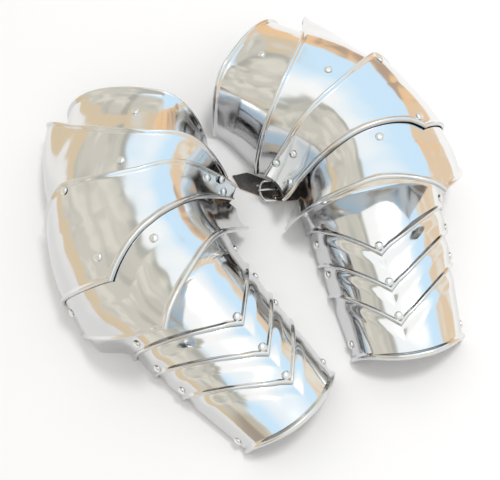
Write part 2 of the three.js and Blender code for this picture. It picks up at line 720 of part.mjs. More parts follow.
// Strap: leather from inside the plate down to the table and along a route on it
function strapGeometry(lining, route, width, holes) {
  const grid = [...lining];
  const points = route.map(([x, y]) => new THREE.Vector3(x, y, floorGap + leatherThickness / 2));
  const rowAt = (i) => {
    const ahead = points[Math.min(i + 1, points.length - 1)].clone().sub(points[Math.max(i - 1, 0)]).normalize();
    const over = new THREE.Vector3(-ahead.y, ahead.x, 0);
    const share = route[i][2] ?? 1;
    return { ahead, row: acrossStrip.map((end) => points[i].clone().addScaledVector(over, (end * share * width) / 2)) };
  };
  const first = rowAt(0);
  const lined = lining[0][2].clone().sub(lining[0][0]).dot(first.row[2].clone().sub(first.row[0])) < 0
    ? grid.map((row) => [...row].reverse()) : grid;
  const rows = [...lined, ...joinRows(lined, first.row, first.ahead, 5, leatherThickness * 5)];
  points.forEach((_, i) => rows.push(rowAt(i).row));
  let strap = asManifold(stripGeometry(rows, leatherThickness));
  for (const [x, y] of holes) {
    const hole = new THREE.CylinderGeometry(strapHole, strapHole, leatherThickness * 4, 8).rotateX(rightAngle);
    strap = strap.subtract(asManifold(hole.translate(x, y, floorGap)));
  }
  return strap;
}

function fastening(arm, joint, plate, part) {
  const { width } = part;
  const name = `${arm.prefix}${part.name}`;
  const frame = new THREE.Matrix4().makeRotationZ(radians(part.heading)).setPosition(part.bar.x, part.bar.y, part.barHeight);
  const chapeLining = liningRows(arm, joint, plate, part.chapeAlong, width * chapeShare, part.chapePlaces);
  const strapLining = liningRows(arm, joint, plate, part.strapAlong, width, part.strapPlaces);
  const { frame: ring, prong } = buckleGeometries(width);
  return [
    named(`${name}_chape`, fromManifold(chapeGeometry(chapeLining, frame, width * chapeShare)), leather),
    named(`${name}_buckle`, ring.applyMatrix4(frame), buckleSteel),
    named(`${name}_prong`, prong.applyMatrix4(frame), buckleSteel),
    named(`${name}_strap`, fromManifold(strapGeometry(strapLining, part.route, width, part.holes)), leather),
  ];
}

// The two fastenings of an arm: one at the elbow, one at the wrist
function fastenings(arm, joints, plates) {
  const { elbowStrap, wristStrap } = arm;
  const elbowAlong = toAlong(elbowStrap.strapTurn);
  const wristAlong = forearmStart + wristStrap.run;
  const wristHeading = THREE.MathUtils.radToDeg(radians(arm.heading) + arm.side * (forearmStart / elbowRadius + joints[4]))
    + (arm.side > 0 ? 180 : 0);
  const wall = (place, lift) => skinPoint(arm, joints[4], 'forearm', wristAlong, place, lift);
  const from = wall(90, -wristStrap.bend);
  const barSpot = wall(-90, -wristStrap.barBack);
  const to = wall(-90, -wristStrap.barBack - buckleReach - wristStrap.clear);
  const lerp = (share) => [blend(from.x, to.x, share), blend(from.y, to.y, share), share > 0.9 ? 0.35 : 1];
  const wristRoute = [lerp(0), lerp(0.25), lerp(0.5), lerp(0.8), lerp(1)];
  const couter = plates.find(({ name }) => name === 'couter');
  const wrist = plates.find(({ name }) => name === 'wrist_cannon');
  return [
    ...fastening(arm, joints[2], couter, {
      ...elbowStrap, name: 'elbow', width: strapWidth, strapAlong: elbowAlong, chapeAlong: toAlong(elbowStrap.chapeTurn),
      chapePlaces: [-62, -67, wing.end], strapPlaces: [74, 79, 84],
    }),
    ...fastening(arm, joints[4], wrist, {
      name: 'wrist', width: wristStrapWidth, strapAlong: wristAlong, chapeAlong: wristAlong,
      chapePlaces: [-66, -72, -78], strapPlaces: [66, 72, 78], bar: barSpot, barHeight: wristBarHeight,
      heading: wristHeading, route: wristRoute, holes: [lerp(0.4), lerp(0.55), lerp(0.7)],
    }),
  ];
}

function buildArm(arm) {
  const joints = [0];
  for (const bend of arm.bend) joints.push(joints[joints.length - 1] + radians(bend));
  const plates = platesOf(arm);
  const jointOf = (plate) => joints[plate.joint];
  const byName = (name) => plates.find((plate) => plate.name === name);
  const solids = new Map(plates.map((plate) => [plate.name, buildPlate(arm, jointOf(plate), plate)]));
  const bare = new Map(plates.map(({ name }) => [name, new THREE.Mesh(fromManifold(solids.get(name)), bothSides)]));
  const cut = (name, cutter) => solids.set(name, solids.get(name).subtract(cutter));
  const frameOn = (plate, along, place) => skinFrame(arm, jointOf(plate), plate.kind, along, place, plate.lift(along, place));
  const meshes = [];

  for (const [name, pair] of Object.entries(slidePairs)) {
    const outer = byName(pair.outer);
    const { turn, place } = slides[name];
    const frame = frameOn(outer, toAlong(turn), place);
    const now = radians(arm.bend[pair.bend]);
    const from = pair.way * (radians(pair.range[0]) - now);
    const to = pair.way * (radians(pair.range[1]) - now);
    const [low, high] = [Math.min(from, to), Math.max(from, to)];
    let washer = rayReach;
    for (let i = 0; i <= slideSteps; i += 1) {
      const spot = carried(frame, arm, blend(low, high, i / slideSteps));
      washer = Math.min(washer, ...heightsOn(bare.get(pair.inner), spot, rivetWasher));
    }
    const head = Math.max(...heightsOn(bare.get(pair.outer), frame, rivetHead));
    cut(pair.outer, slotCutter(frame, arm, 0, 0));
    cut(pair.inner, slotCutter(frame, arm, low, high));
    meshes.push(named(`${arm.prefix}rivet_${name}`, rivetGeometry(frame, washer, head), rivetSteel));
  }
  chevrons.forEach((chevron, i) => {
    const outer = byName(`forearm_lame_${i + 1}`);
    const inner = chevrons[i + 1] ? `forearm_lame_${i + 2}` : 'wrist_cannon';
    const frame = frameOn(outer, forearmStart + chevron.tip - tipRivetBack, chevronTip);
    const washer = Math.min(...heightsOn(bare.get(inner), frame, rivetWasher));
    const head = Math.max(...heightsOn(bare.get(outer.name), frame, rivetHead));
    cut(outer.name, slotCutter(frame, arm, 0, 0));
    cut(inner, slotCutter(frame, arm, 0, 0));
    meshes.push(named(`${arm.prefix}rivet_tip_${i + 1}`, rivetGeometry(frame, washer, head), rivetSteel));
  });
  for (const [name, heads] of Object.entries(fixedHeads(arm))) {
    for (const { along, place } of heads) {
      const frame = frameOn(byName(name), along, place);
      const high = Math.max(...heightsOn(bare.get(name), frame, 0));
      solids.set(name, solids.get(name).add(fusedHead(frame, high)));
    }
  }
  const shells = plates.map(({ name }) => named(arm.prefix + name, fromManifold(solids.get(name)), steel));
  return [...shells, ...meshes, ...fastenings(arm, joints, plates)];
}

const part = new THREE.Group();
part.name = 'plate_arm_harness';
for (const arm of arms) part.add(...buildArm(arm));
part.position.set(-pairMiddle.x, -pairMiddle.y, 0);

export default part;
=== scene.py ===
"""Looks of a pair of polished plate arm guards that lie on a table with the open side down."""

import logging
from dataclasses import dataclass, field, replace
from enum import Enum
from typing import Callable

import bpy
import numpy as np
from mathutils import Matrix

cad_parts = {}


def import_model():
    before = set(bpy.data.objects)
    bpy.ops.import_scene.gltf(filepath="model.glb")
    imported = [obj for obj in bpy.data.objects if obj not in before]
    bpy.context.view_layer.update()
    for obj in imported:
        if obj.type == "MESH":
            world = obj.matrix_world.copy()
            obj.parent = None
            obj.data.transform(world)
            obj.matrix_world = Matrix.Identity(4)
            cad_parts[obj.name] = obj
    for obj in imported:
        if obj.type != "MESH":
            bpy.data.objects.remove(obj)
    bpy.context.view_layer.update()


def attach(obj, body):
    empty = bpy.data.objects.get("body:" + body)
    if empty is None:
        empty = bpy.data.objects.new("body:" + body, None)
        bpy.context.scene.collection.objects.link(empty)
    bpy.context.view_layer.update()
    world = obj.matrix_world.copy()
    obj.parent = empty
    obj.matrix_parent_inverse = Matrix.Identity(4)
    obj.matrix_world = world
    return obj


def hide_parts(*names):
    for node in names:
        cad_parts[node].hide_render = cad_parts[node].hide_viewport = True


LOG = logging.getLogger("arm_guards")
MM = 0.001
RIGHT_ANGLE = np.pi / 2
SMOOTH_ANGLE = np.radians(38)
RIVET_SEGMENTS = 40
PUNCH_SEGMENTS = 20
FOOT = 90.0  # Place of an arch's foot, in degrees from its top.

Array = np.ndarray
Curve = Callable[[Array], Array]
LiftField = Callable[[Array, Array], Array]


class Section(Enum):
    """The stretch of the arm that a plate belongs to."""

    CANNON = "cannon"
    ELBOW = "elbow"
    FOREARM = "forearm"


class Rim(Enum):
    """How a plate's edge is finished."""

    PLAIN = "plain"
    BEAD = "bead"
    ROLL = "roll"


@dataclass(frozen=True)
class SheetMetal:
    """Plate and its spacing, in millimetres."""

    thickness: float = 1.2
    gap: float = 0.9
    touch: float = 0.3
    lip: float = 0.55

    @property
    def step(self) -> float:
        """Height from one layer of plates to the next."""
        return self.thickness + self.gap


@dataclass(frozen=True)
class RimForm:
    """Width and height of a raised edge, in millimetres."""

    width: float
    peak: float
    skew: float = 0.75


METAL = SheetMetal()
RIM_FORMS = {
    Rim.PLAIN: RimForm(width=0.8, peak=0.0),
    Rim.BEAD: RimForm(width=5.4, peak=1.9),
    Rim.ROLL: RimForm(width=6.4, peak=2.7),
}


def ease(share: Array) -> Array:
    """Return the share eased in and out: 3 s^2 - 2 s^3."""
    return share * share * (3 - 2 * share)


def blend(start: Array, end: Array, share: Array) -> Array:
    """Return the value a share of the way from start to end."""
    return start + (end - start) * share


def unit(vectors: Array) -> Array:
    """Return the vectors made one long."""
    return vectors / np.linalg.norm(vectors, axis=-1, keepdims=True)


def bell(way: Array, power: int = 2) -> Array:
    """Return a lobe that is 1 at 0 and falls off to both sides; a higher power flattens its top."""
    return np.exp(-(way**power))


def signed_power(wave: Array, power: float) -> Array:
    """Return a sine or cosine raised to a power with its sign kept, as a superellipse has it."""
    return np.sign(wave) * np.abs(wave) ** power


def neighbours(count: int) -> tuple[Array, Array]:
    """Return the numbers before and after each of a row, held at its ends."""
    order = np.arange(count)
    return np.maximum(order - 1, 0), np.minimum(order + 1, count - 1)


def hermite(start: Array, leave: Array, end: Array, arrive: Array, t: Array) -> Array:
    """Return the cubic that leaves the start with one slope and arrives at the end with another."""
    return (
        (2 * t**3 - 3 * t**2 + 1) * start + (t**3 - 2 * t**2 + t) * leave
        + (3 * t**2 - 2 * t**3) * end + (t**3 - t**2) * arrive
    )


@dataclass(frozen=True)
class EdgeCurve:
    """An edge of an elbow lame: its turn about the elbow axis at a place of the arch, in degrees.

    Up to the cusp the edge is a smooth curve through the places, and from there to the side a
    power curve.
    """

    cusp: float
    tip: float
    side: float
    flare: float
    spread: float
    reach: float
    at: tuple = ()
    places: tuple = (-72.0, -60.0, -30.0, 0.0, 20.0)
    power: float = 0.8
    flare_power: float = 0.9

    def turn(self, place: Array) -> Array:
        """Return the edge's turn in degrees.

        Args:
            place: Places round the arch, in degrees from the top.

        Returns:
            Cubic Hermite values before the cusp, and the power curve after it.
        """
        knots = np.array([*self.places, self.cusp])
        values = np.array([*self.at, self.tip])
        low, high = neighbours(len(knots))
        slopes = (values[high] - values[low]) / (knots[high] - knots[low])
        i = np.clip(np.searchsorted(knots, place, side="left") - 1, 0, len(knots) - 2)
        width = knots[i + 1] - knots[i]
        t = np.clip((place - knots[i]) / width, 0, 1)
        smooth = hermite(values[i], width * slopes[i], values[i + 1], width * slopes[i + 1], t)
        past = np.clip((place - self.cusp) / (FOOT - self.cusp), 0, 1)
        return np.where(place <= self.cusp, smooth, blend(self.tip, self.side, past**self.power))

    def flare_at(self, place: Array, near: Array) -> Array:
        """Return the flare's lift; near is 1 at the edge and 0 where the flare ends."""
        lobe = bell((place - self.cusp) / self.spread)
        return self.flare * lobe * np.clip(near, 0, 1) ** self.flare_power


@dataclass(frozen=True)
class Tab:
    """The end of a lame at the crook, lifted off the table or the strap."""

    lift: float
    start: float
    end: float

    def rise(self, place: Array) -> Array:
        """Return the tab's lift, which grows with the square of the way to its end."""
        return self.lift * np.clip((self.start - place) / (self.start - self.end), 0, 1) ** 2


@dataclass(frozen=True)
class Slide:
    """A rivet that slides in a slot: its place, the plates it joins and the joint's range."""

    turn: float
    place: float
    outer: str
    inner: str
    bend: int
    low: float
    high: float
    way: int


@dataclass(frozen=True)
class FixedRivet:
    """A rivet that only holds: run in millimetres along a straight stretch, place in degrees."""

    run: float
    place: float


@dataclass(frozen=True)
class Fastening:
    """Sizes of one strap with its chape and buckle; lengths in millimetres, turns in degrees."""

    name: str
    width: float
    bar: tuple
    bar_height: float
    heading: float
    chape_along: float
    strap_along: float
    chape_places: tuple
    strap_places: tuple
    route: tuple
    holes: tuple
    plate: str


@dataclass(frozen=True)
class ElbowStrap:
    """The strap across the crook of one arm, with points on the table in millimetres."""

    chape_turn: float
    bar: tuple
    bar_height: float
    heading: float
    route: tuple
    holes: tuple
    strap_turn: float = 9.4


@dataclass(frozen=True)
class ArmLayout:
    """How one arm lies on the table; lengths in millimetres, angles in degrees."""

    name: str
    side: int
    axis: tuple
    heading: float
    bend: tuple
    edges: dict
    cannon_slant: float
    lower_tab: Tab
    strap_rivets: tuple
    elbow_strap: ElbowStrap

    @property
    def joints(self) -> Array:
        """Turn of each plate group about the elbow axis, in radians."""
        return np.radians(np.concatenate([[0.0], np.cumsum(self.bend)]))

    @property
    def centre(self) -> Array:
        """Where the elbow axis stands, in the frame of the pair."""
        return np.array(self.axis) - PAIR_MIDDLE


UPPER_LAME_EDGE = EdgeCurve(cusp=80, tip=-31, side=-30, flare=30, spread=20, reach=0.8)
COUTER_TOP_EDGE = EdgeCurve(cusp=40, tip=-6.5, side=0, flare=4, spread=22, reach=0.4)
COUTER_LOW_EDGE = EdgeCurve(cusp=30, tip=31.5, side=18, flare=0.6, spread=22, reach=0.4)
LOWER_LAME_EDGE = EdgeCurve(cusp=30, tip=54, side=28, flare=9, spread=20, reach=0.7)
PAIR_MIDDLE = (-0.525, 22.861)
LEFT_ARM = ArmLayout(
    name="left",
    side=1,
    axis=(12.0, 24.0),
    heading=5.7,
    bend=(2.5, 0.0, 0.0, 0.0),
    edges={
        "upper_lame": replace(UPPER_LAME_EDGE, at=(-49, -46, -39.5, -28, -25.5)),
        "couter_top": replace(COUTER_TOP_EDGE, at=(-38, -31, -18.5, -7, -5), tip=-5.8, side=-0.4),
        "couter_low": replace(COUTER_LOW_EDGE, at=(-4, 3, 16, 22.5, 28.5)),
        "lower_lame": replace(LOWER_LAME_EDGE, at=(50, 50.5, 49.5, 51, 52.5)),
    },
    cannon_slant=7,
    lower_tab=Tab(lift=18, start=-45, end=-82),
    strap_rivets=((-17, -53), (-26, -62), (-12, -66)),
    elbow_strap=ElbowStrap(
        chape_turn=-26,
        bar=(-43.5, 42.0),
        bar_height=4.6,
        heading=163,
        route=((-169.5, -32), (-131, -20.4), (-100, -10.7), (-84, -5.7), (-72, -2, 0.1)),
        holes=((-90, -7.5), (-102, -11.3)),
    ),
)
RIGHT_ARM = ArmLayout(
    name="right",
    side=-1,
    axis=(4.0, 23.0),
    heading=50.3,
    bend=(4.5, 2.1, -0.7, -0.8),
    edges={
        "upper_lame": replace(UPPER_LAME_EDGE, at=(-44, -41, -33, -28.5, -27.5), flare=28),
        "couter_top": replace(COUTER_TOP_EDGE, at=(-27, -18, -11, -6.5, -5.8)),
        "couter_low": replace(COUTER_LOW_EDGE, at=(48, 30, 25.3, 22.8, 24.2), tip=27, side=19),
        "lower_lame": replace(LOWER_LAME_EDGE, at=(74, 72, 62, 51, 50.5), tip=52),
    },
    cannon_slant=-2,
    lower_tab=Tab(lift=7, start=-45, end=-86),
    strap_rivets=((0, -54), (-14, -64), (22, -66)),
    elbow_strap=ElbowStrap(
        chape_turn=10,
        bar=(25.5, 53.0),
        bar_height=6.6,
        heading=185,
        route=(
            (160, 131), (127.3, 104.7), (92, 76), (72, 64.5), (55.6, 56.1), (34, 53.2),
            (20, 56.4), (-1.8, 65.2), (-18, 72.5, 0.1),
        ),
        holes=((8, 61.5),),
    ),
)


@dataclass(frozen=True)
class ArmForm:
    """The swept form that every plate of an arm lies on, in millimetres.

    Every section is a superellipse arch. At the elbow it is turned about an upright axis, and from
    there it runs straight up the cannon and down the forearm, with the arch blended along the way.
    """

    elbow_radius: float = 112.0
    elbow_arch: tuple = (94.0, 66.0, 102.0)
    power: float = 0.89
    cannon_start: float = -25.0
    cannon_length: float = 82.0
    cannon_arch: tuple = (103.0, 42.0, 76.0)
    forearm_start: float = 65.0
    shoulder: float = 26.0
    shoulder_arch: tuple = (74.0, 63.0, 66.0)
    wrist_run: float = 166.0
    wrist_arch: tuple = (50.0, 51.0, 43.0)

    def station(self, section: Section, along: Array) -> tuple[Array, Array, Array]:
        """Find where stations along the arm lie.

        Args:
            section: The stretch whose straight run continues the elbow.
            along: Distances along the arm on the elbow's middle line.

        Returns:
            The turn about the axis in radians, the straight run, and the arch sizes.
        """
        elbow = np.array(self.elbow_arch)
        turn = along / self.elbow_radius
        run = np.zeros_like(along)
        arch = np.broadcast_to(elbow, along.shape + (3,))
        if section is Section.CANNON:
            past = along < self.cannon_start
            share = ease(np.clip((self.cannon_start - along) / self.cannon_length, 0, 1))
            arch = blend(elbow, np.array(self.cannon_arch), share[..., None])
            turn = np.where(past, self.cannon_start / self.elbow_radius, turn)
            run = np.where(past, along - self.cannon_start, 0)
        if section is Section.FOREARM:
            run = np.maximum(along - self.forearm_start, 0)
            near = ease(np.clip(run / self.shoulder, 0, 1))[..., None]
            far = np.clip((run - self.shoulder) / (self.wrist_run - self.shoulder), 0, 2)[..., None]
            high = np.array(self.shoulder_arch)
            wrist = blend(high, np.array(self.wrist_arch), far)
            arch = np.where(far > 0, wrist, blend(elbow, high, near))
            turn = np.minimum(turn, self.forearm_start / self.elbow_radius)
        return turn, run, arch

    def across(self, arch: Array, place: Array, lift: Array) -> tuple[Array, Array]:
        """Return how far across and how high a place of the superellipse is."""
        beta = np.radians(place)
        reach = np.where(place > 0, arch[..., 0], arch[..., 1])
        out = signed_power(np.sin(beta), self.power) * (reach + lift)
        height = np.maximum(np.cos(beta), 0) ** self.power * (arch[..., 2] + lift)
        return out, np.where(np.abs(place) >= FOOT, 0, height)

    def skin(
        self, arm: ArmLayout, joint: int, section: Section, along: Array, place: Array, lift: Array
    ) -> Array:
        """Place points on the form.

        Args:
            arm: The arm whose layout and bends apply.
            joint: Number of the plate group.
            section: The stretch of the arm.
            along: Distances along the arm.
            place: Places round the arch, in degrees.
            lift: Heights over the innermost skin.

        Returns:
            Points in millimetres, in the frame of the pair.
        """
        given = (np.asarray(value, float) for value in (along, place, lift))
        along, place, lift = np.broadcast_arrays(*given)
        turn, run, arch = self.station(section, along)
        out, height = self.across(arch, place, lift)
        angle = np.radians(arm.heading) + arm.side * (turn + arm.joints[joint])
        radius = self.elbow_radius + out
        x = arm.centre[0] - arm.side * radius * np.cos(angle) + run * np.sin(angle)
        y = arm.centre[1] - arm.side * radius * np.sin(angle) - run * np.cos(angle)
        return np.stack([x, y, height], axis=-1)

    def stretch(self, section: Section, place: Array) -> Array:
        """Return how much shorter a millimetre is on the middle line than at a place."""
        if section is not Section.ELBOW:
            return np.ones_like(place)
        out, _ = self.across(np.array(self.elbow_arch), place, np.zeros_like(place))
        return self.elbow_radius / (self.elbow_radius + out)

    def along(self, degrees: Array) -> Array:
        """Return the distance along the middle line for a turn in degrees."""
        return self.elbow_radius * np.radians(degrees)

    def turn(self, along: Array) -> Array:
        """Return the turn in degrees for a distance along the middle line."""
        return np.degrees(along / self.elbow_radius)


FORM = ArmForm()


@dataclass(frozen=True)
class PlateSpec:
    """One plate: the curves of its two edges, its lift and how its edges are finished."""

    name: str
    body: str
    joint: int
    section: Section
    upper: Curve
    lower: Curve
    lift: LiftField
    upper_rim: Rim = Rim.PLAIN
    lower_rim: Rim = Rim.PLAIN
    first_place: float = -FOOT


@dataclass(frozen=True)
class PlateMaker:
    """Works out every plate of an arm: its two edges, its lift and the fine skins between them."""

    arm: ArmLayout
    place_step: float = 1.25
    first_share: float = 0.4
    middle_rows: int = 46
    rim_rows: int = 13
    plain_rows: int = 5
    lip_foot: float = 0.3
    rim_power: float = 1.25
    frame_reach: float = METAL.gap / 3
    frame_turn: float = 0.2
    upper_lame_end: float = -82.0
    wing: Tab = Tab(lift=16, start=-45, end=-72)
    chevron_tip: float = -10.0
    chevron_power: float = 1.4
    chevrons: tuple = ((31, 33, 87), (68, 59, 121), (100, 92, 152))
    lame_overlap: float = 18.0
    lame_side_overlap: float = 11.0
    lame_overlap_reach: float = 80.0
    lame_rise: float = 14.0
    cannon_bulge: float = 7.0
    wrist_bulge: float = 16.0
    slot_margin: float = 3.2
    lap_margin: float = 2.6
    lobe_spread: float = 19.0
    hidden_spread: float = 30.0
    cannon_crook: tuple = (-4.0, -27.0)
    forearm_rim: float = 30.0

    def layer(
        self, base: float, upper: tuple = (), lower: tuple = (), tab: Tab | None = None
    ) -> LiftField:
        """Make the lift of a lame: its layer, the flare towards its free edges and its lifted end.

        Args:
            base: Height of the layer.
            upper: The upper edge and the edge that its flare runs out towards, or nothing.
            lower: The same for the lower edge, or nothing.
            tab: The lifted end at the crook, or None.

        Returns:
            A function of distance along and place.
        """

        def lift(along: Array, place: Array) -> Array:
            """Return the lift of the inner skin."""
            height = np.full(np.broadcast(along, place).shape, base)
            for pair, sign in ((upper, 1), (lower, -1)):
                if not pair:
                    continue
                edge, other = pair
                turn = edge.turn(place)
                reach = np.abs(other.turn(place) - turn) * edge.reach
                height = height + edge.flare_at(place, 1 - sign * (FORM.turn(along) - turn) / reach)
            return height + tab.rise(place) if tab else height

        return lift

    def lobe(self, place: Array, slide: Slide) -> Array:
        """Return a flat-topped lobe about a sliding rivet."""
        return bell((place - slide.place) / self.lobe_spread, 4)

    def hidden(self, edge: EdgeCurve, slide: Slide, sign: int) -> Curve:
        """Make an edge that reaches under the next plate far enough for its slot."""

        def curve(place: Array) -> Array:
            """Return the distance along of the hidden edge."""
            base = edge.turn(place) + sign * (slide.high + self.lap_margin)
            reach = slide.turn + sign * (slide.high + self.slot_margin)
            lobe = bell((place - slide.place) / self.hidden_spread)
            pick = np.maximum if sign > 0 else np.minimum
            return FORM.along(pick(base, blend(base, reach, lobe)))

        return curve

    def cannon_low(self, place: Array) -> Array:
        """Return the cannon's hidden edge, with a lobe under each sliding rivet."""
        travel = SLIDES["upper_top"].high
        edge = self.arm.edges["upper_lame"]
        lap = edge.turn(np.maximum(place, self.upper_lame_end)) + travel + self.lap_margin
        crook = blend(*self.cannon_crook, -place / FOOT)
        base = np.where(place < 0, np.maximum(lap, crook), lap)
        reach = base
        for name in ("upper_top", "upper_side"):
            slide = SLIDES[name]
            tip = slide.turn + travel + self.slot_margin
            reach = np.maximum(reach, blend(base, tip, self.lobe(place, slide)))
        return FORM.along(reach)

    def forearm_top(self, place: Array) -> Array:
        """Return the first forearm lame's hidden edge, with a lobe under each sliding rivet."""
        reach = np.full_like(place, self.forearm_rim)
        for name in ("lower_top", "lower_side"):
            slide = SLIDES[name]
            tip = slide.turn - slide.high - self.slot_margin
            reach = np.minimum(reach, blend(self.forearm_rim, tip, self.lobe(place, slide)))
        return FORM.along(reach)

    def chevron(self, number: int) -> Curve:
        """Make a pointed edge: a power curve that rises from each side to the tip."""
        crook, elbow, tip = self.chevrons[number]

        def curve(place: Array) -> Array:
            """Return the distance along of the pointed edge."""
            on_crook = place < self.chevron_tip
            reach = np.where(on_crook, FOOT + self.chevron_tip, FOOT - self.chevron_tip)
            share = np.clip(1 - np.abs(place - self.chevron_tip) / reach, 0, 1)
            side = np.where(on_crook, crook, elbow)
            return FORM.forearm_start + blend(side, tip, share**self.chevron_power)

        return curve

    def under(self, above: Curve) -> LiftField:
        """Make the lift of a lame that goes under the one above and comes up past its edge."""

        def lift(along: Array, place: Array) -> Array:
            """Return the lift of the inner skin."""
            past = (along - above(place)) / self.lame_rise
            return -METAL.step * (1 - ease(np.clip(past, 0, 1)))

        return lift

    def plates(self) -> list[PlateSpec]:
        """List the arm's plates from the upper arm to the wrist."""
        edge = self.arm.edges
        top, low = edge["couter_top"], edge["couter_low"]
        upper, lower = edge["upper_lame"], edge["lower_lame"]
        flat = self.layer(0)

        def edge_along(curve: EdgeCurve) -> Curve:
            """Return the edge as distances along the arm."""
            return lambda place: FORM.along(curve.turn(place))

        def cannon_top(place: Array) -> Array:
            """Return the open upper edge, bulged at the top of the arch and slanted across it."""
            beta = np.radians(place)
            start = FORM.cannon_start - FORM.cannon_length
            bulge = self.cannon_bulge * np.cos(beta) ** 2
            return start - bulge - self.arm.cannon_slant * np.sin(beta)

        def wrist_edge(place: Array) -> Array:
            """Return the open lower edge, bulged at the top of the arch."""
            bulge = self.wrist_bulge * np.cos(np.radians(place)) ** 2
            return FORM.forearm_start + FORM.wrist_run + bulge

        tab = self.arm.lower_tab
        upper_low = self.hidden(top, SLIDES["couter_upper"], 1)
        lower_top = self.hidden(low, SLIDES["couter_lower"], -1)
        upper_lift = self.layer(METAL.step, (upper, top))
        couter_lift = self.layer(2 * METAL.step, (top, low), (low, top), self.wing)
        lower_lift = self.layer(METAL.step, (), (lower, low), tab)
        found = [
            PlateSpec(
                "upper_cannon", "cannon_body", 0, Section.CANNON, cannon_top, self.cannon_low, flat,
                upper_rim=Rim.ROLL,
            ),
            PlateSpec(
                "upper_lame", "upper_lame_body", 1, Section.ELBOW, edge_along(upper), upper_low,
                upper_lift, upper_rim=Rim.BEAD, first_place=self.upper_lame_end,
            ),
            PlateSpec(
                "couter", "couter_body", 2, Section.ELBOW, edge_along(top), edge_along(low),
                couter_lift, upper_rim=Rim.BEAD, lower_rim=Rim.BEAD, first_place=self.wing.end,
            ),
            PlateSpec(
                "lower_lame", "lower_lame_body", 3, Section.ELBOW, lower_top, edge_along(lower),
                lower_lift, lower_rim=Rim.BEAD, first_place=tab.end,
            ),
            PlateSpec(
                "forearm_lame_1", "forearm_body", 4, Section.FOREARM, self.forearm_top,
                self.chevron(0), flat, lower_rim=Rim.BEAD,
            ),
        ]
        for i in range(len(self.chevrons)):
            last = i == len(self.chevrons) - 1
            above = self.chevron(i)
            found.append(PlateSpec(
                "wrist_cannon" if last else f"forearm_lame_{i + 2}", "forearm_body", 4,
                Section.FOREARM, self.lapped(above), wrist_edge if last else self.chevron(i + 1),
                self.under(above), lower_rim=Rim.ROLL if last else Rim.BEAD,
            ))
        return found

    def lapped(self, above: Curve) -> Curve:
        """Make the hidden edge of a forearm lame, which goes a lap under the one above it."""

        def curve(place: Array) -> Array:
            """Return the distance along of the hidden edge."""
            share = np.minimum(np.abs(place - self.chevron_tip) / self.lame_overlap_reach, 1)
            return above(place) - blend(self.lame_overlap, self.lame_side_overlap, share)

        return curve

    def rim_profile(self, rim: Rim) -> tuple[Array, Array]:
        """Work out a rim: a rounded lip, then a bump that is a power of a sine.

        Args:
            rim: How the edge is finished.

        Returns:
            Distances from the edge, and heights over the inner skin.
        """
        shape = RIM_FORMS[rim]
        count = self.plain_rows if rim is Rim.PLAIN else self.rim_rows
        reach = shape.width * (1 - np.cos(np.linspace(0, RIGHT_ANGLE, count)))
        inside = 1 - np.minimum(reach / METAL.lip, 1)
        lip = METAL.thickness * blend(self.lip_foot, 1.0, np.sqrt(1 - inside**2))
        bump = shape.peak * np.sin(np.pi * (reach / shape.width) ** shape.skew) ** self.rim_power
        return reach, lip + np.maximum(bump, 0)

    def skins(self, spec: PlateSpec) -> tuple[Array, Array]:
        """Work out the fine outer and inner skins of a plate.

        Args:
            spec: The plate.

        Returns:
            Two grids of points in millimetres, rows from the upper edge to the lower one.
        """
        first = np.ceil(spec.first_place / self.place_step + self.first_share) * self.place_step
        rest = np.arange(first, FOOT + self.place_step / 2, self.place_step)
        place = rest if spec.first_place <= -FOOT else np.concatenate([[spec.first_place], rest])
        place = np.clip(place, -FOOT, FOOT)[None, :]
        stretch = FORM.stretch(spec.section, place)
        top_reach, top_height = self.rim_profile(spec.upper_rim)
        low_reach, low_height = self.rim_profile(spec.lower_rim)
        upper, lower = spec.upper(place), spec.lower(place)
        share = np.linspace(0, 1, self.middle_rows + 1)[1:-1, None]
        near = upper + top_reach[:, None] * stretch
        far = lower - low_reach[::-1, None] * stretch
        middle = blend(near[-1:], far[:1], share)
        along = np.concatenate([near, middle, far])
        plain = np.full(len(middle), METAL.thickness)
        height = np.concatenate([top_height, plain, low_height[::-1]])[:, None]
        lift = spec.lift(along, place)
        place = np.broadcast_to(place, along.shape)
        form = (self.arm, spec.joint, spec.section)
        return FORM.skin(*form, along, place, lift + height), FORM.skin(*form, along, place, lift)

    def frame(self, spec: PlateSpec, along: float, place: float) -> Matrix:
        """Make the frame on a plate's inner skin: X along the arm, Z out of the plate."""
        small = self.frame_reach
        lift = spec.lift(np.array([along]), np.array([place]))[0]
        spots = FORM.skin(
            self.arm, spec.joint, spec.section,
            along + np.array([0, small, 0, 0]),
            place + np.array([0, 0, self.frame_turn, 0]),
            lift + np.array([0, 0, 0, small]),
        )
        on = unit(spots[1] - spots[0])
        normal = unit(np.cross(on, spots[2] - spots[0]))
        normal = normal * np.sign(normal @ (spots[3] - spots[0]))
        over = np.cross(normal, on)
        rows = np.stack([on, over, normal, spots[0]], axis=1)
        return Matrix([*rows.tolist(), [0, 0, 0, 1]])


SLIDES = {
    "upper_top": Slide(-10.8, 7, "upper_lame", "upper_cannon", 0, 0, 6, 1),
    "upper_side": Slide(-6, 74, "upper_lame", "upper_cannon", 0, 0, 6, 1),
    "couter_upper": Slide(-2.8, 38, "couter", "upper_lame", 1, -1, 3.5, 1),
    "couter_lower": Slide(22.6, 29, "couter", "lower_lame", 2, -1.5, 2.5, -1),
    "lower_top": Slide(29, 2, "lower_lame", "forearm_lame_1", 3, -2.5, 1.5, -1),
    "lower_side": Slide(24, 77, "lower_lame", "forearm_lame_1", 3, -2.5, 1.5, -1),
}


def put(name: str, data: bpy.types.ID) -> bpy.types.Object:
    """Put a new object with its data into the scene."""
    thing = bpy.data.objects.new(name, data)
    bpy.context.scene.collection.objects.link(thing)
    return thing


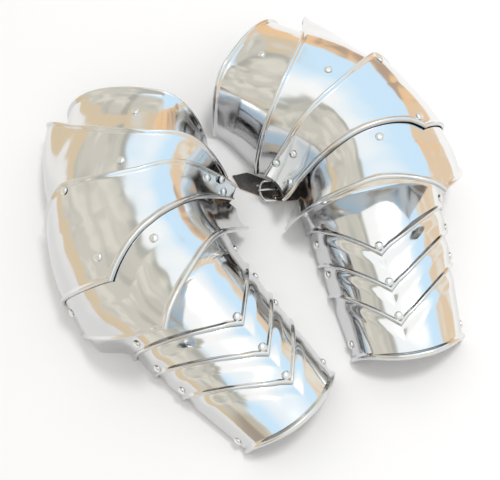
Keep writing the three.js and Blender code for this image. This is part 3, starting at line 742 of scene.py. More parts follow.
def mark(mesh: bpy.types.Mesh, name: str, values: Array) -> None:
    """Write a number for each point of a mesh as an attribute."""
    layer = mesh.attributes.new(name, "FLOAT", "POINT")
    layer.data.foreach_set("value", values.astype(np.float32))


def spots_of(mesh: bpy.types.Mesh) -> Array:
    """Return the points of a mesh, in metres."""
    spots = np.empty(len(mesh.vertices) * 3, dtype=np.float32)
    mesh.vertices.foreach_get("co", spots)
    return spots.reshape(-1, 3)


class MeshWork:
    """Turns grids of points into closed Blender meshes."""

    @staticmethod
    def build(name: str, points: Array, faces: list, smooth: bool = True) -> bpy.types.Object:
        """Make an object from points in millimetres.

        Args:
            name: Name of the piece.
            points: Points in millimetres.
            faces: A list of point numbers for each face.
            smooth: Whether the faces are shaded smooth up to the smoothing angle.

        Returns:
            The new object, at the origin, with its place in its mesh.
        """
        mesh = bpy.data.meshes.new(name)
        mesh.from_pydata((np.asarray(points) * MM).tolist(), [], faces)
        mesh.validate()
        mesh.polygons.foreach_set("use_smooth", np.full(len(mesh.polygons), smooth))
        piece = put(name, mesh)
        MeshWork.outward(piece)
        mesh.set_sharp_from_angle(angle=SMOOTH_ANGLE)
        return piece

    @staticmethod
    def outward(piece: bpy.types.Object) -> None:
        """Turn a closed mesh's faces outwards where its signed volume is negative."""
        mesh = piece.data
        mesh.calc_loop_triangles()
        corners = np.empty(len(mesh.loop_triangles) * 3, dtype=np.int32)
        mesh.loop_triangles.foreach_get("vertices", corners)
        a, b, c = np.swapaxes(spots_of(mesh)[corners.reshape(-1, 3)].astype(float), 0, 1)
        if np.einsum("ij,ij->i", a, np.cross(b, c)).sum() < 0:
            mesh.flip_normals()

    @staticmethod
    def quads(rows: int, width: int, offset: int = 0, close: bool = False) -> Array:
        """Number the quads of a grid, row by row, closed round its width if asked."""
        across = np.arange(width if close else width - 1)
        i, j = np.meshgrid(np.arange(rows - 1) * width, across, indexing="ij")
        k = (j + 1) % width
        return offset + np.stack([i + j, i + k, i + width + k, i + width + j], -1).reshape(-1, 4)

    @staticmethod
    def caps(rows: int, sides: int) -> list:
        """Number the triangles that close a tube's two ends round middles that follow its rings."""
        step = np.arange(sides)
        after = (step + 1) % sides
        first = rows * sides
        low = first - sides
        near = np.stack([step, np.full(sides, first), after], -1)
        far = np.stack([low + after, np.full(sides, first + 1), low + step], -1)
        return np.concatenate([near, far]).tolist()

    @staticmethod
    def shell(name: str, outer: Array, inner: Array) -> bpy.types.Object:
        """Make a closed plate between an outer and an inner grid of points."""
        rows, width = outer.shape[:2]
        points = np.concatenate([outer.reshape(-1, 3), inner.reshape(-1, 3)])
        back = rows * width
        top = MeshWork.quads(rows, width)
        under = MeshWork.quads(rows, width, back)[:, ::-1]
        ring = np.concatenate([
            np.arange(width), np.arange(1, rows) * width + width - 1,
            (rows - 1) * width + np.arange(width - 2, -1, -1), np.arange(rows - 2, 0, -1) * width,
        ])
        after = np.roll(ring, -1)
        wall = np.stack([after, ring, ring + back, after + back], -1)
        return MeshWork.build(name, points, np.concatenate([top, under, wall]).tolist())

    @staticmethod
    def revolve(
        name: str, profile: Array, frame: Matrix, segments: int = RIVET_SEGMENTS
    ) -> bpy.types.Object:
        """Turn a profile of radius and height, from axis to axis, about a frame's Z."""
        radius, height = np.asarray(profile, float)[1:-1].T[..., None]
        angle = np.linspace(0, 2 * np.pi, segments, endpoint=False)
        grid = [radius * np.cos(angle), radius * np.sin(angle), height + 0 * angle]
        grid = np.stack(grid, axis=-1)
        ends = np.array([[0, 0, profile[0][1]], [0, 0, profile[-1][1]]])
        points = MeshWork.placed(np.concatenate([grid.reshape(-1, 3), ends]), frame)
        faces = MeshWork.quads(len(radius), segments, close=True).tolist()
        return MeshWork.build(name, points, faces + MeshWork.caps(len(radius), segments))

    @staticmethod
    def placed(points: Array, frame: Matrix) -> Array:
        """Return the points carried into a frame."""
        matrix = np.array(frame)
        return points @ matrix[:3, :3].T + matrix[:3, 3]

    @staticmethod
    def tube(name: str, rings: Array, closed: bool) -> bpy.types.Object:
        """Make a closed mesh through rings of points, joined end to end or capped at both ends."""
        count, sides = rings.shape[:2]
        points = rings.reshape(-1, 3)
        if closed:
            i, j = np.meshgrid(np.arange(count), np.arange(sides), indexing="ij")
            here, ahead, beside = i * sides, (i + 1) % count * sides, (j + 1) % sides
            faces = np.stack([here + j, here + beside, ahead + beside, ahead + j], -1)
            return MeshWork.build(name, points, faces.reshape(-1, 4).tolist())
        faces = MeshWork.quads(count, sides, close=True).tolist()
        points = np.concatenate([points, rings[[0, -1]].mean(axis=1)])
        return MeshWork.build(name, points, faces + MeshWork.caps(count, sides))

    @staticmethod
    def cut(piece: bpy.types.Object, cutters: list[bpy.types.Object]) -> None:
        """Cut closed meshes out of a piece and remove them."""
        for cutter in cutters:
            tool = piece.modifiers.new("hole", "BOOLEAN")
            tool.operation = "DIFFERENCE"
            tool.solver = "EXACT"
            tool.object = cutter
        view = bpy.context.evaluated_depsgraph_get()
        old = piece.data
        piece.data = bpy.data.meshes.new_from_object(piece.evaluated_get(view))
        piece.modifiers.clear()
        piece.data.name = old.name
        bpy.data.meshes.remove(old)
        piece.data.set_sharp_from_angle(angle=SMOOTH_ANGLE)
        for cutter in cutters:
            shape = cutter.data
            bpy.data.objects.remove(cutter)
            bpy.data.meshes.remove(shape)


@dataclass(frozen=True)
class RivetForm:
    """Sizes of a domed rivet and its washer, in millimetres."""

    head: float = 3.9
    dome: float = 2.5
    shank: float = 2.0
    washer: float = 3.8
    washer_thickness: float = 0.9
    clearance: float = 0.35
    steps: int = 12
    dome_end: float = 0.12
    rim_share: float = 0.16
    rim_foot: float = 0.4
    head_foot: float = 0.97
    seat_share: float = 0.35
    washer_top: float = 0.96
    washer_foot: float = 0.94
    washer_edge: float = 0.2
    reach: float = 12.0
    cutter_reach: float = 6.0

    def dome_profile(self, seat: float) -> list:
        """Return the head's profile over a seat: an elliptic dome on a short upright rim."""
        angle = np.linspace(RIGHT_ANGLE, self.dome_end, self.steps)
        rim = self.dome * self.rim_share
        heights = rim + (self.dome - rim) * np.sin(angle)
        dome = [[r, z + seat] for r, z in zip(self.head * np.cos(angle), heights)]
        return [*dome, [self.head, seat + rim * self.rim_foot], [self.head * self.head_foot, seat]]

    def through(self, low: float, high: float) -> list:
        """Return the profile of a whole rivet between the seats of its washer and its head."""
        seat = high + METAL.touch * self.seat_share
        back = low - METAL.touch
        under = back - self.washer_thickness
        return [
            *self.dome_profile(seat), [self.shank, seat], [self.shank, back],
            [self.washer * self.washer_top, back], [self.washer, back - self.washer_edge],
            [self.washer, under + self.washer_edge], [self.washer * self.washer_foot, under],
            [0, under],
        ]

    def capped(self, high: float) -> list:
        """Return the profile of a rivet's head sunk a little into its plate."""
        root = high - METAL.thickness / 2
        return [*self.dome_profile(high), [self.head * self.head_foot, root], [0, root]]


RIVET = RivetForm()


@dataclass(frozen=True)
class WireForm:
    """Sizes of a buckle's wire ring and prong, in millimetres."""

    wire: float = 1.5
    reach: float = 15.0
    shoulder_share: float = 0.35
    roundness: float = 0.7
    prong_width: float = 2.4
    prong_wall: float = 1.6
    prong_tip: float = 2.4
    prong_taper: float = 0.15
    prong_seat: float = 0.4
    prong_swell: float = 0.5
    prong_dip: float = 0.4
    prong_flatness: tuple = (0.7, 0.8)
    prong_depth: float = 0.42
    prong_wind: float = -1.15 * np.pi
    prong_ends: tuple = (0.9, 0.7, 0.35)
    bow_settle: float = 0.94
    smoothing: int = 2
    bow_steps: int = 56
    bar_steps: int = 10
    wind_steps: int = 34
    prong_steps: int = 30
    prong_start: float = 0.05
    sides: int = 20

    @property
    def eye(self) -> float:
        """Distance from the bar's middle to what is wound round it with a touch of air."""
        return self.wire + METAL.touch


WIRE = WireForm()


class BuckleMaker:
    """Makes the ring and the prong of one buckle."""

    def __init__(self, part: Fastening, prefix: str) -> None:
        """Keep the fastening and the frame on its bar."""
        self.part = part
        self.prefix = prefix
        turn = Matrix.Rotation(np.radians(part.heading), 4, "Z")
        x, y = np.array(part.bar) - PAIR_MIDDLE
        self.frame = Matrix.Translation((x, y, part.bar_height)) @ turn

    def ring_line(self) -> Array:
        """Return the middle line of the ring: a straight bar and a bow, a power of a cosine."""
        half = self.part.width / 2 + WIRE.eye
        bar = np.linspace(-half, half, WIRE.bar_steps, endpoint=False)
        angle = np.linspace(RIGHT_ANGLE, -RIGHT_ANGLE, WIRE.bow_steps)
        swell = np.maximum(np.cos(angle), 0) ** WIRE.roundness
        reach = WIRE.reach * blend(WIRE.shoulder_share, 1.0, swell)
        settle = np.clip((np.abs(np.sin(angle)) - WIRE.bow_settle) / (1 - WIRE.bow_settle), 0, 1)
        reach = reach * (1 - ease(settle))
        bow = np.stack([reach, half * np.sin(angle)], -1)
        line = np.concatenate([np.stack([0 * bar, bar], -1), bow])
        for _ in range(WIRE.smoothing):
            line = (np.roll(line, 1, axis=0) + 2 * line + np.roll(line, -1, axis=0)) / 4
        return line

    def ring(self) -> bpy.types.Object:
        """Make the ring: a round wire carried along its closed middle line."""
        line = self.ring_line()
        ahead = unit(np.roll(line, -1, axis=0) - np.roll(line, 1, axis=0))
        beside = np.stack([-ahead[:, 1], ahead[:, 0]], -1)
        angle = np.linspace(0, 2 * np.pi, WIRE.sides, endpoint=False)
        flat = line[:, None, :] + WIRE.wire * np.cos(angle)[None, :, None] * beside[:, None, :]
        height = np.broadcast_to(WIRE.wire * np.sin(angle), flat.shape[:2])
        rings = np.concatenate([flat, height[..., None]], axis=-1)
        return MeshWork.tube(f"{self.prefix}_ring", self.place(rings), closed=True)

    def prong(self) -> bpy.types.Object:
        """Make the prong: a flattened wire wound once about the bar, then laid over the bow."""
        eye = WIRE.eye + WIRE.prong_wall / 2
        angle = np.linspace(WIRE.prong_wind, RIGHT_ANGLE, WIRE.wind_steps)
        turn = np.stack([eye * np.cos(angle), eye * np.sin(angle)], -1)
        share = np.linspace(WIRE.prong_start, 1, WIRE.prong_steps)
        x = share * (WIRE.reach + WIRE.prong_tip)
        seat = WIRE.eye + WIRE.prong_wall * WIRE.prong_seat
        swell = WIRE.prong_swell * np.sin(np.pi * share)
        z = seat + swell + (eye - seat) * (1 - share) ** 3 - WIRE.prong_dip * share**6
        line = np.concatenate([turn, np.stack([x, z], -1)])
        ahead = unit(np.gradient(line, axis=0))
        up = np.stack([-ahead[:, 1], ahead[:, 0]], -1)
        along = np.linspace(0, 1, len(line))
        thin = 1 - WIRE.prong_taper * along
        thin[-len(WIRE.prong_ends):] *= np.array(WIRE.prong_ends)
        section = np.linspace(0, 2 * np.pi, WIRE.sides, endpoint=False)
        wide, deep = WIRE.prong_flatness
        across = signed_power(np.cos(section), wide) * WIRE.prong_width / 2
        height = signed_power(np.sin(section), deep) * WIRE.prong_wall * WIRE.prong_depth
        middle = line[:, None, :] + (thin[:, None] * height)[..., None] * up[:, None, :]
        y = thin[:, None] * across[None, :]
        rings = np.stack([middle[..., 0], y, middle[..., 1]], axis=-1)
        return MeshWork.tube(f"{self.prefix}_tongue", self.place(rings), closed=False)

    def place(self, rings: Array) -> Array:
        """Return rings of points carried onto the bar."""
        return MeshWork.placed(rings.reshape(-1, 3), self.frame).reshape(rings.shape)


@dataclass(frozen=True)
class LeatherForm:
    """Sizes of the straps and chapes, in millimetres."""

    thickness: float = 2.0
    seat: float = 0.95
    floor_gap: float = 0.35
    chape_share: float = 0.76
    chape_pull: float = 30.0
    hole: float = 1.6
    fine_steps: int = 7
    section_points: int = 28
    tip_length: float = 12.0
    tip_end: float = 0.06
    fold_points: int = 7
    bridge_steps: int = 6
    drop_steps: int = 5
    drop_pull: float = 10.0
    notch_shift: float = 0.4
    punch_top: float = 2.0
    flatness: tuple = (0.22, 0.45)
    edge_sine: float = 0.3


LEATHER = LeatherForm()


class StripMaker:
    """Makes the leather of one fastening: the chape round the bar and the strap on the table."""

    def __init__(self, maker: PlateMaker, spec: PlateSpec, part: Fastening, prefix: str) -> None:
        """Keep the plate that carries the strips and the fastening's sizes."""
        self.maker = maker
        self.spec = spec
        self.part = part
        self.prefix = prefix

    def lining(self, middle: float, width: float, places: tuple) -> Array:
        """Work out rows of a strip along the inside of the plate.

        Args:
            middle: Distance along the arm of the strip's middle.
            width: Width of the strip.
            places: Places round the arch, in degrees.

        Returns:
            Rows of three points: one edge, the middle and the other edge.
        """
        arm, joint, section = self.maker.arm, self.spec.joint, self.spec.section
        place = np.array(places, float)[:, None]
        drop = LEATHER.seat + LEATHER.thickness / 2
        lift = self.spec.lift(np.full_like(place, middle), place) - drop
        spot = FORM.skin(arm, joint, section, middle, place, lift)
        beside = FORM.skin(arm, joint, section, middle + 1, place, lift)
        scale = width / 2 / np.linalg.norm(beside - spot, axis=-1)
        along = middle + np.array([-1.0, 0.0, 1.0]) * scale
        place = np.broadcast_to(place, along.shape)
        return FORM.skin(arm, joint, section, along, place, self.spec.lift(along, place) - drop)

    @staticmethod
    def bridge(lining: Array, target: Array, direction: Array, steps: int, pull: float) -> Array:
        """Return rows on a cubic from the lining to the target, arriving along a direction."""
        start = lining[-1]
        leave = unit(start - lining[-2]) * pull
        arrive = direction * pull
        t = (np.arange(1, steps) / steps)[:, None, None]
        return hermite(start, leave, target, arrive, t)

    def chape(self) -> bpy.types.Object:
        """Make the chape: from inside the plate, round the bar and back, notched for the prong."""
        part = self.part
        width = part.width * LEATHER.chape_share
        frame = BuckleMaker(part, self.prefix).frame
        ahead, over = np.array(frame)[:3, 0], np.array(frame)[:3, 1]
        lining = self.lining(part.chape_along, width, part.chape_places)
        if (lining[0, 2] - lining[0, 0]) @ over < 0:
            lining = lining[:, ::-1]
        loop = WIRE.eye + LEATHER.thickness / 2
        angle = np.linspace(-RIGHT_ANGLE, RIGHT_ANGLE, LEATHER.fold_points)
        fold = loop * np.stack([np.cos(angle), np.sin(angle)], -1)
        x, z = np.concatenate([[[-loop, -loop]], fold, [[-loop, loop]]]).T
        rows = np.stack([
            MeshWork.placed(np.stack([x, np.full(len(x), end * width / 2), z], -1), frame)
            for end in (-1, 0, 1)
        ], axis=1)
        bridge = self.bridge(lining, rows[0], ahead, LEATHER.bridge_steps, LEATHER.chape_pull)
        piece = self.strip(f"{self.prefix}_chape_leather", np.concatenate([lining, bridge, rows]))
        MeshWork.cut(piece, [self.notch(frame, loop)])
        return piece

    def notch(self, frame: Matrix, loop: float) -> bpy.types.Object:
        """Make the block that cuts the prong's notch out of the chape's fold."""
        half = np.array([loop * 2, WIRE.prong_width / 2 + 2 * METAL.touch, loop * 2])
        corner = np.array([[x, y, z] for x in (-1, 1) for y in (-1, 1) for z in (-1, 1)]) * half
        corner[:, 0] += loop * LEATHER.notch_shift
        faces = [[0, 1, 3, 2], [4, 6, 7, 5], [0, 4, 5, 1], [2, 3, 7, 6], [0, 2, 6, 4], [1, 5, 7, 3]]
        return MeshWork.build(f"{self.prefix}_notch", MeshWork.placed(corner, frame), faces)

    def strap(self) -> bpy.types.Object:
        """Make the strap: from inside the plate to the table and by its route to a pointed end."""
        part = self.part
        level = LEATHER.floor_gap + LEATHER.thickness / 2
        route = np.array([[*np.array(spot[:2]) - PAIR_MIDDLE, level] for spot in part.route])
        share = np.array([spot[2] if len(spot) > 2 else 1.0 for spot in part.route])
        before, after = neighbours(len(route))
        ahead = unit(route[after] - route[before])
        over = np.stack([-ahead[:, 1], ahead[:, 0], 0 * ahead[:, 0]], -1)
        half = (share * part.width / 2)[:, None, None] * np.array([-1, 0, 1])[None, :, None]
        rows = route[:, None, :] + half * over[:, None, :]
        lining = self.lining(part.strap_along, part.width, part.strap_places)
        if (lining[0, 2] - lining[0, 0]) @ (rows[0, 2] - rows[0, 0]) < 0:
            lining = lining[:, ::-1]
        bridge = self.bridge(lining, rows[0], ahead[0], LEATHER.drop_steps, LEATHER.drop_pull)
        rows = np.concatenate([lining, bridge, rows])
        piece = self.strip(f"{self.prefix}_strap_leather", rows, tip=LEATHER.tip_length)
        MeshWork.cut(piece, [self.punch(i, spot) for i, spot in enumerate(part.holes)])
        return piece

    def punch(self, number: int, spot: tuple) -> bpy.types.Object:
        """Make the round punch of one strap hole."""
        x, y = np.array(spot) - PAIR_MIDDLE
        low = -LEATHER.thickness * 2
        high = LEATHER.punch_top - low
        profile = [[0, high], [LEATHER.hole, high], [LEATHER.hole, low], [0, low]]
        frame = Matrix.Translation((x, y, LEATHER.floor_gap))
        return MeshWork.revolve(f"{self.prefix}_punch_{number}", profile, frame, PUNCH_SEGMENTS)

    @staticmethod
    def smooth_rows(rows: Array, steps: int) -> Array:
        """Return rows on a curve through the given ones, with slopes from their neighbours."""
        chord = np.linalg.norm(np.diff(rows[:, 1], axis=0), axis=-1)
        knots = np.concatenate([[0], np.cumsum(chord)])
        low, high = neighbours(len(rows))
        slope = (rows[high] - rows[low]) / (knots[high] - knots[low])[:, None, None]
        t = (np.arange(steps) / steps)[None, :, None, None]
        reach = chord[:, None, None, None]
        leave, arrive = reach * slope[:-1, None], reach * slope[1:, None]
        fine = hermite(rows[:-1, None], leave, rows[1:, None], arrive, t)
        return np.concatenate([fine.reshape(-1, 3, 3), rows[-1:]])

    def strip(self, name: str, rows: Array, tip: float = 0.0) -> bpy.types.Object:
        """Make a strip of leather with rounded edges along rows of three points.

        Args:
            name: Name of the piece.
            rows: Rows of edge, middle and edge.
            tip: Length over which the end narrows to a point, or 0.

        Returns:
            The strip, with the attribute cut_edge set to 1 along its sides.
        """
        fine = self.smooth_rows(rows, LEATHER.fine_steps)
        middle = fine[:, 1]
        half = (fine[:, 2] - fine[:, 0]) / 2
        width = np.linalg.norm(half, axis=-1, keepdims=True)
        if tip:
            steps = np.linalg.norm(np.diff(middle[::-1], axis=0), axis=-1)
            left = np.concatenate([np.cumsum(steps)[::-1], [0]])
            width = np.clip(left / tip, LEATHER.tip_end, 1)[:, None] * self.part.width / 2
        over = unit(half)
        ahead = unit(np.gradient(middle, axis=0))
        up = unit(np.cross(ahead, over))
        angle = np.linspace(0, 2 * np.pi, LEATHER.section_points, endpoint=False)
        wide, deep = LEATHER.flatness
        across = signed_power(np.cos(angle), wide)
        height = signed_power(np.sin(angle), deep) * LEATHER.thickness / 2
        rings = (
            middle[:, None, :] + (width * across[None, :])[..., None] * over[:, None, :]
            + height[None, :, None] * up[:, None, :]
        )
        piece = MeshWork.tube(name, rings, closed=False)
        edge = np.abs(np.sin(angle)) < LEATHER.edge_sine
        mark(piece.data, "cut_edge", np.concatenate([np.tile(edge, len(rings)), [True, True]]))
        return piece


class ArmBuilder:
    """Builds every visible piece of one arm and sets it on its body."""

    WRIST_STRAP_WIDTH = 15.0
    STRAP_WIDTH = 20.0
    WRIST_STRAP_RUN = 150.0
    WRIST_BEND = 14.0
    WRIST_BAR_BACK = 16.0
    WRIST_CLEAR = 6.0
    WRIST_BAR_HEIGHT = 4.6
    WRIST_ROUTE = (0, 0.25, 0.5, 0.8, 1)
    WRIST_HOLES = (0.4, 0.55, 0.7)
    WRIST_TIP = (0.9, 0.35)
    WRIST_CHAPE_PLACES = (-66, -72, -78)
    WRIST_STRAP_PLACES = (66, 72, 78)
    CHAPE_PLACES = (-62, -67)
    STRAP_PLACES = (74, 79, 84)
    TRAVEL_STEPS = 5
    SLOT_STEPS = 9
    HOLE_STEPS = 24
    SLOT_END_STEPS = 13
    TIP_RIVET_BACK = 9.5
    ELBOW_SIDE = (FixedRivet(31, 62), FixedRivet(58, 70), FixedRivet(87, 71))
    CROOK_SIDE = (FixedRivet(15, -76), FixedRivet(48, -76), FixedRivet(80, -76))
    WRIST_RIVETS = (FixedRivet(152, 77), FixedRivet(150, -78))
    CANNON_RIVET = FixedRivet(-57, 8)

    def __init__(self, arm: ArmLayout, finishes: "FinishSet") -> None:
        """Keep the arm's layout and the finishes, and work out its plates."""
        self.arm = arm
        self.finishes = finishes
        self.maker = PlateMaker(arm)
        self.specs = {spec.name: spec for spec in self.maker.plates()}
        self.skins = {name: self.maker.skins(spec) for name, spec in self.specs.items()}
        self.cutters: dict[str, list] = {name: [] for name in self.specs}

    def node(self, name: str) -> str:
        """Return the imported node's name for a piece of this arm."""
        return f"{self.arm.name}_{name}"

    def set_on(self, piece: bpy.types.Object, body: str, finish: "Finish", *nodes: str) -> None:
        """Dress a piece, set it on this arm's body of that name and let it stand for its nodes."""
        body = self.node(body)
        piece.data.materials.clear()
        piece.data.materials.append(self.finishes.material(finish))
        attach(piece, body)
        if nodes:
            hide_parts(*(self.node(name) for name in nodes))
        LOG.info("%s rides on %s", piece.name, body)

    def build(self) -> None:
        """Build rivets, plates, straps and buckles in order."""
        self.sliding_rivets()
        self.tip_rivets()
        self.fixed_rivets()
        self.plates()
        for part in self.fastenings():
            self.fasten(part)

    @staticmethod
    def heights(points: Array, frame: Matrix, rim: float) -> Array:
        """Return the heights over a frame of the points within a rim of its axis."""
        local = MeshWork.placed(points.reshape(-1, 3), frame.inverted())
        near = (np.hypot(local[:, 0], local[:, 1]) < rim) & (np.abs(local[:, 2]) < RIVET.reach)
        return local[near, 2]

    def turned(self, frame: Matrix, angle: float) -> Matrix:
        """Return a frame carried round the elbow axis."""
        x, y = self.arm.centre
        turn = Matrix.Rotation(self.arm.side * angle, 4, "Z")
        return Matrix.Translation((x, y, 0)) @ turn @ Matrix.Translation((-x, -y, 0)) @ frame

    def sliding_rivets(self) -> None:
        """Set the rivets that slide in slots, each seated on both plates over its whole travel."""
        for name, slide in SLIDES.items():
            outer = self.specs[slide.outer]
            frame = self.maker.frame(outer, FORM.along(slide.turn), slide.place)
            now = np.radians(self.arm.bend[slide.bend])
            ends = [slide.way * (np.radians(limit) - now) for limit in (slide.low, slide.high)]
            low, high = min(ends), max(ends)
            below = self.skins[slide.inner][1]
            under = min(
                self.heights(below, self.turned(frame, angle), RIVET.washer).min(initial=0)
                for angle in np.linspace(low, high, self.TRAVEL_STEPS)
            )
            over = self.heights(self.skins[slide.outer][0], frame, RIVET.head).max()
            piece = MeshWork.revolve(self.node(f"{name}_rivet"), RIVET.through(under, over), frame)
            self.set_on(piece, outer.body, RIVET_STEEL, f"rivet_{name}")
            self.cutters[slide.outer].append(self.hole(frame, [0.0]))
            sweep = np.linspace(low, high, self.SLOT_STEPS)
            self.cutters[slide.inner].append(self.hole(frame, sweep))

    def tip_rivets(self) -> None:
        """Set the rivets that hold the points of the forearm lames together."""
        plates = ("forearm_lame_1", "forearm_lame_2", "forearm_lame_3", "wrist_cannon")
        for i, (_, _, tip) in enumerate(self.maker.chevrons):
            outer, inner = self.specs[plates[i]], plates[i + 1]
            along = FORM.forearm_start + tip - self.TIP_RIVET_BACK
            frame = self.maker.frame(outer, along, self.maker.chevron_tip)
            under = self.heights(self.skins[inner][1], frame, RIVET.washer).min()
            over = self.heights(self.skins[outer.name][0], frame, RIVET.head).max()
            name = self.node(f"tip_rivet_{i + 1}")
            piece = MeshWork.revolve(name, RIVET.through(under, over), frame)
            self.set_on(piece, outer.body, RIVET_STEEL, f"rivet_tip_{i + 1}")
            for name in (outer.name, inner):
                self.cutters[name].append(self.hole(frame, [0.0]))

    def hole(self, frame: Matrix, angles: Array) -> bpy.types.Object:
        """Make the cutter of a round hole, or of the slot that a rivet sweeps as its plate turns.

        Args:
            frame: The rivet's frame.
            angles: Turns about the elbow axis from the rivet's place, in radians.

        Returns:
            A closed prism: a circle, or a half circle at each end joined by the line of the sweep.
        """
        radius = RIVET.shank + RIVET.clearance
        if len(angles) > 1:
            half = np.linspace(-RIGHT_ANGLE, RIGHT_ANGLE, self.SLOT_END_STEPS)
            path = (
                [(angles[-1], a) for a in half]
                + [(turn, RIGHT_ANGLE) for turn in angles[-2:0:-1]]
                + [(angles[0], a + np.pi) for a in half]
                + [(turn, -RIGHT_ANGLE) for turn in angles[1:-1]]
            )
        else:
            circle = np.linspace(0, 2 * np.pi, self.HOLE_STEPS, endpoint=False)
            path = [(angles[0], a) for a in circle]
        rings = [
            [
                MeshWork.placed(np.array([radius * np.cos(a), radius * np.sin(a), height]),
                                self.turned(frame, turn))
                for turn, a in path
            ]
            for height in (-RIVET.cutter_reach, RIVET.cutter_reach)
        ]
        return MeshWork.tube("slot_cutter", np.array(rings), closed=False)

    def fixed_rivets(self) -> None:
        """Set the domed heads of the rivets that only hold."""
        rivet, start = self.CANNON_RIVET, FORM.forearm_start
        spots = [("upper_cannon", "cannon_rivet", FORM.cannon_start + rivet.run, rivet.place)]
        for i, (turn, place) in enumerate(self.arm.strap_rivets, 1):
            spots.append(("couter", f"strap_rivet_{i}", FORM.along(turn), place))
        for side, rivets in (("elbow", self.ELBOW_SIDE), ("crook", self.CROOK_SIDE)):
            for i, rivet in enumerate(rivets, 1):
                plate = f"forearm_lame_{i}"
                spots.append((plate, f"{side}_side_rivet_{i}", start + rivet.run, rivet.place))
        for i, rivet in enumerate(self.WRIST_RIVETS, 1):
            spots.append(("wrist_cannon", f"wrist_rivet_{i}", start + rivet.run, rivet.place))
        for plate, name, along, place in spots:
            spec = self.specs[plate]
            frame = self.maker.frame(spec, along, place)
            over = self.heights(self.skins[plate][0], frame, RIVET.head / 2).max()
            piece = MeshWork.revolve(self.node(name), RIVET.capped(over), frame)
            self.set_on(piece, spec.body, RIVET_STEEL)

    def plates(self) -> None:
        """Make the plates with their holes and slots."""
        for name, spec in self.specs.items():
            outer, inner = self.skins[name]
            piece = MeshWork.shell(self.node(f"{name}_plate"), outer, inner)
            MeshWork.cut(piece, self.cutters[name])
            self.mark_reach(piece, spec)
            self.set_on(piece, spec.body, PLATE_STEEL, name)

    def mark_reach(self, piece: bpy.types.Object, spec: PlateSpec) -> None:
        """Write the attribute reach: how far out from the elbow axis a point lies, in metres.

        The distance is square to the arm: the turn about the axis is held within the round stretch,
        and on the straight stretches the cosine of the turn that is left over shortens it.
        """
        away = (spots_of(piece.data)[:, :2] - self.arm.centre * MM) * -self.arm.side
        start = np.radians(self.arm.heading) + self.arm.side * self.arm.joints[spec.joint]
        turn = self.arm.side * (np.arctan2(away[:, 1], away[:, 0]) - start)
        turn = (turn + np.pi) % (2 * np.pi) - np.pi
        first, last = FORM.cannon_start / FORM.elbow_radius, FORM.forearm_start / FORM.elbow_radius
        left = turn - np.clip(turn, first, last)
        mark(piece.data, "reach", np.hypot(away[:, 0], away[:, 1]) * np.cos(left))

    def fastenings(self) -> list[Fastening]:
        """Return the two fastenings of the arm: one at the elbow, one at the wrist."""
        arm, strap = self.arm, self.arm.elbow_strap
        along = FORM.forearm_start + self.WRIST_STRAP_RUN
        turn = FORM.forearm_start / FORM.elbow_radius + arm.joints[-1]
        heading = arm.heading + arm.side * np.degrees(turn) + (180 if arm.side > 0 else 0)

        def wall(place: float, lift: float) -> Array:
            """Return a point of the wrist's inner wall, as the layout's own coordinates."""
            spot = FORM.skin(arm, -1, Section.FOREARM, along, place, lift)
            return spot[:2] + np.array(PAIR_MIDDLE)

        start = wall(FOOT, -self.WRIST_BEND)
        bar = wall(-FOOT, -self.WRIST_BAR_BACK)
        stop = wall(-FOOT, -self.WRIST_BAR_BACK - WIRE.reach - self.WRIST_CLEAR)
        tip_start, tip_width = self.WRIST_TIP

        def on_way(share: float) -> tuple:
            """Return a point of the wrist strap's route and its share of the full width."""
            return (*blend(start, stop, share), tip_width if share > tip_start else 1.0)

        return [
            Fastening(
                "elbow", self.STRAP_WIDTH, strap.bar, strap.bar_height, strap.heading,
                FORM.along(strap.chape_turn), FORM.along(strap.strap_turn),
                (*self.CHAPE_PLACES, self.maker.wing.end), self.STRAP_PLACES,
                strap.route, strap.holes, "couter",
            ),
            Fastening(
                "wrist", self.WRIST_STRAP_WIDTH, tuple(bar), self.WRIST_BAR_HEIGHT, heading,
                along, along, self.WRIST_CHAPE_PLACES, self.WRIST_STRAP_PLACES,
                tuple(on_way(share) for share in self.WRIST_ROUTE),
                tuple(on_way(share)[:2] for share in self.WRIST_HOLES), "wrist_cannon",
            ),
        ]

    def fasten(self, part: Fastening) -> None:
        """Make one fastening: chape, strap, ring and prong."""
        prefix, spec = self.node(part.name), self.specs[part.plate]
        strips = StripMaker(self.maker, spec, part, prefix)
        buckle = BuckleMaker(part, prefix)
        self.set_on(strips.chape(), spec.body, BLACK_LEATHER, f"{part.name}_chape")
        self.set_on(strips.strap(), spec.body, BLACK_LEATHER, f"{part.name}_strap")
        self.set_on(buckle.ring(), f"{part.name}_buckle_body", WIRE_STEEL, f"{part.name}_buckle")
        self.set_on(buckle.prong(), f"{part.name}_prong_body", WIRE_STEEL, f"{part.name}_prong")


Colour = tuple[float, float, float]
Node = bpy.types.Node
Socket = bpy.types.NodeSocket


@dataclass(frozen=True)
class Speckle:
    """Noise eased over a range of its values; a scale of three numbers stretches it."""

    scale: float | tuple
    detail: float
    roughness: float
    low: float = 0.0
    high: float = 1.0


SMEARS = Speckle(34.0, 4, 0.6, 0.48, 0.72)
HAIRLINES = Speckle((900, 60, 240), 3, 0.7, 0.6, 0.78)
STAINS = Speckle(120.0, 5, 0.65, 0.62, 0.8)
HAMMERING = Speckle(24.0, 1, 0.4)
CREASES = Speckle(180.0, 4, 0.6)
RAGGED = Speckle(4.0, 3, 0.55)
STRIPES = Speckle((7, 7, 0.6), 3, 0.6, 0.44, 0.6)
PATCHES = Speckle(3.2, 4, 0.6, 0.5, 0.66)
GLINTS = Speckle(5.0, 3, 0.5, 0.52, 0.62)


@dataclass(frozen=True)
class Finish:
    """A finish of the arm guards: its slot in the record and the values of its material."""

    name: str
    slot: str
    colour: Colour
    roughness: float
    metallic: float


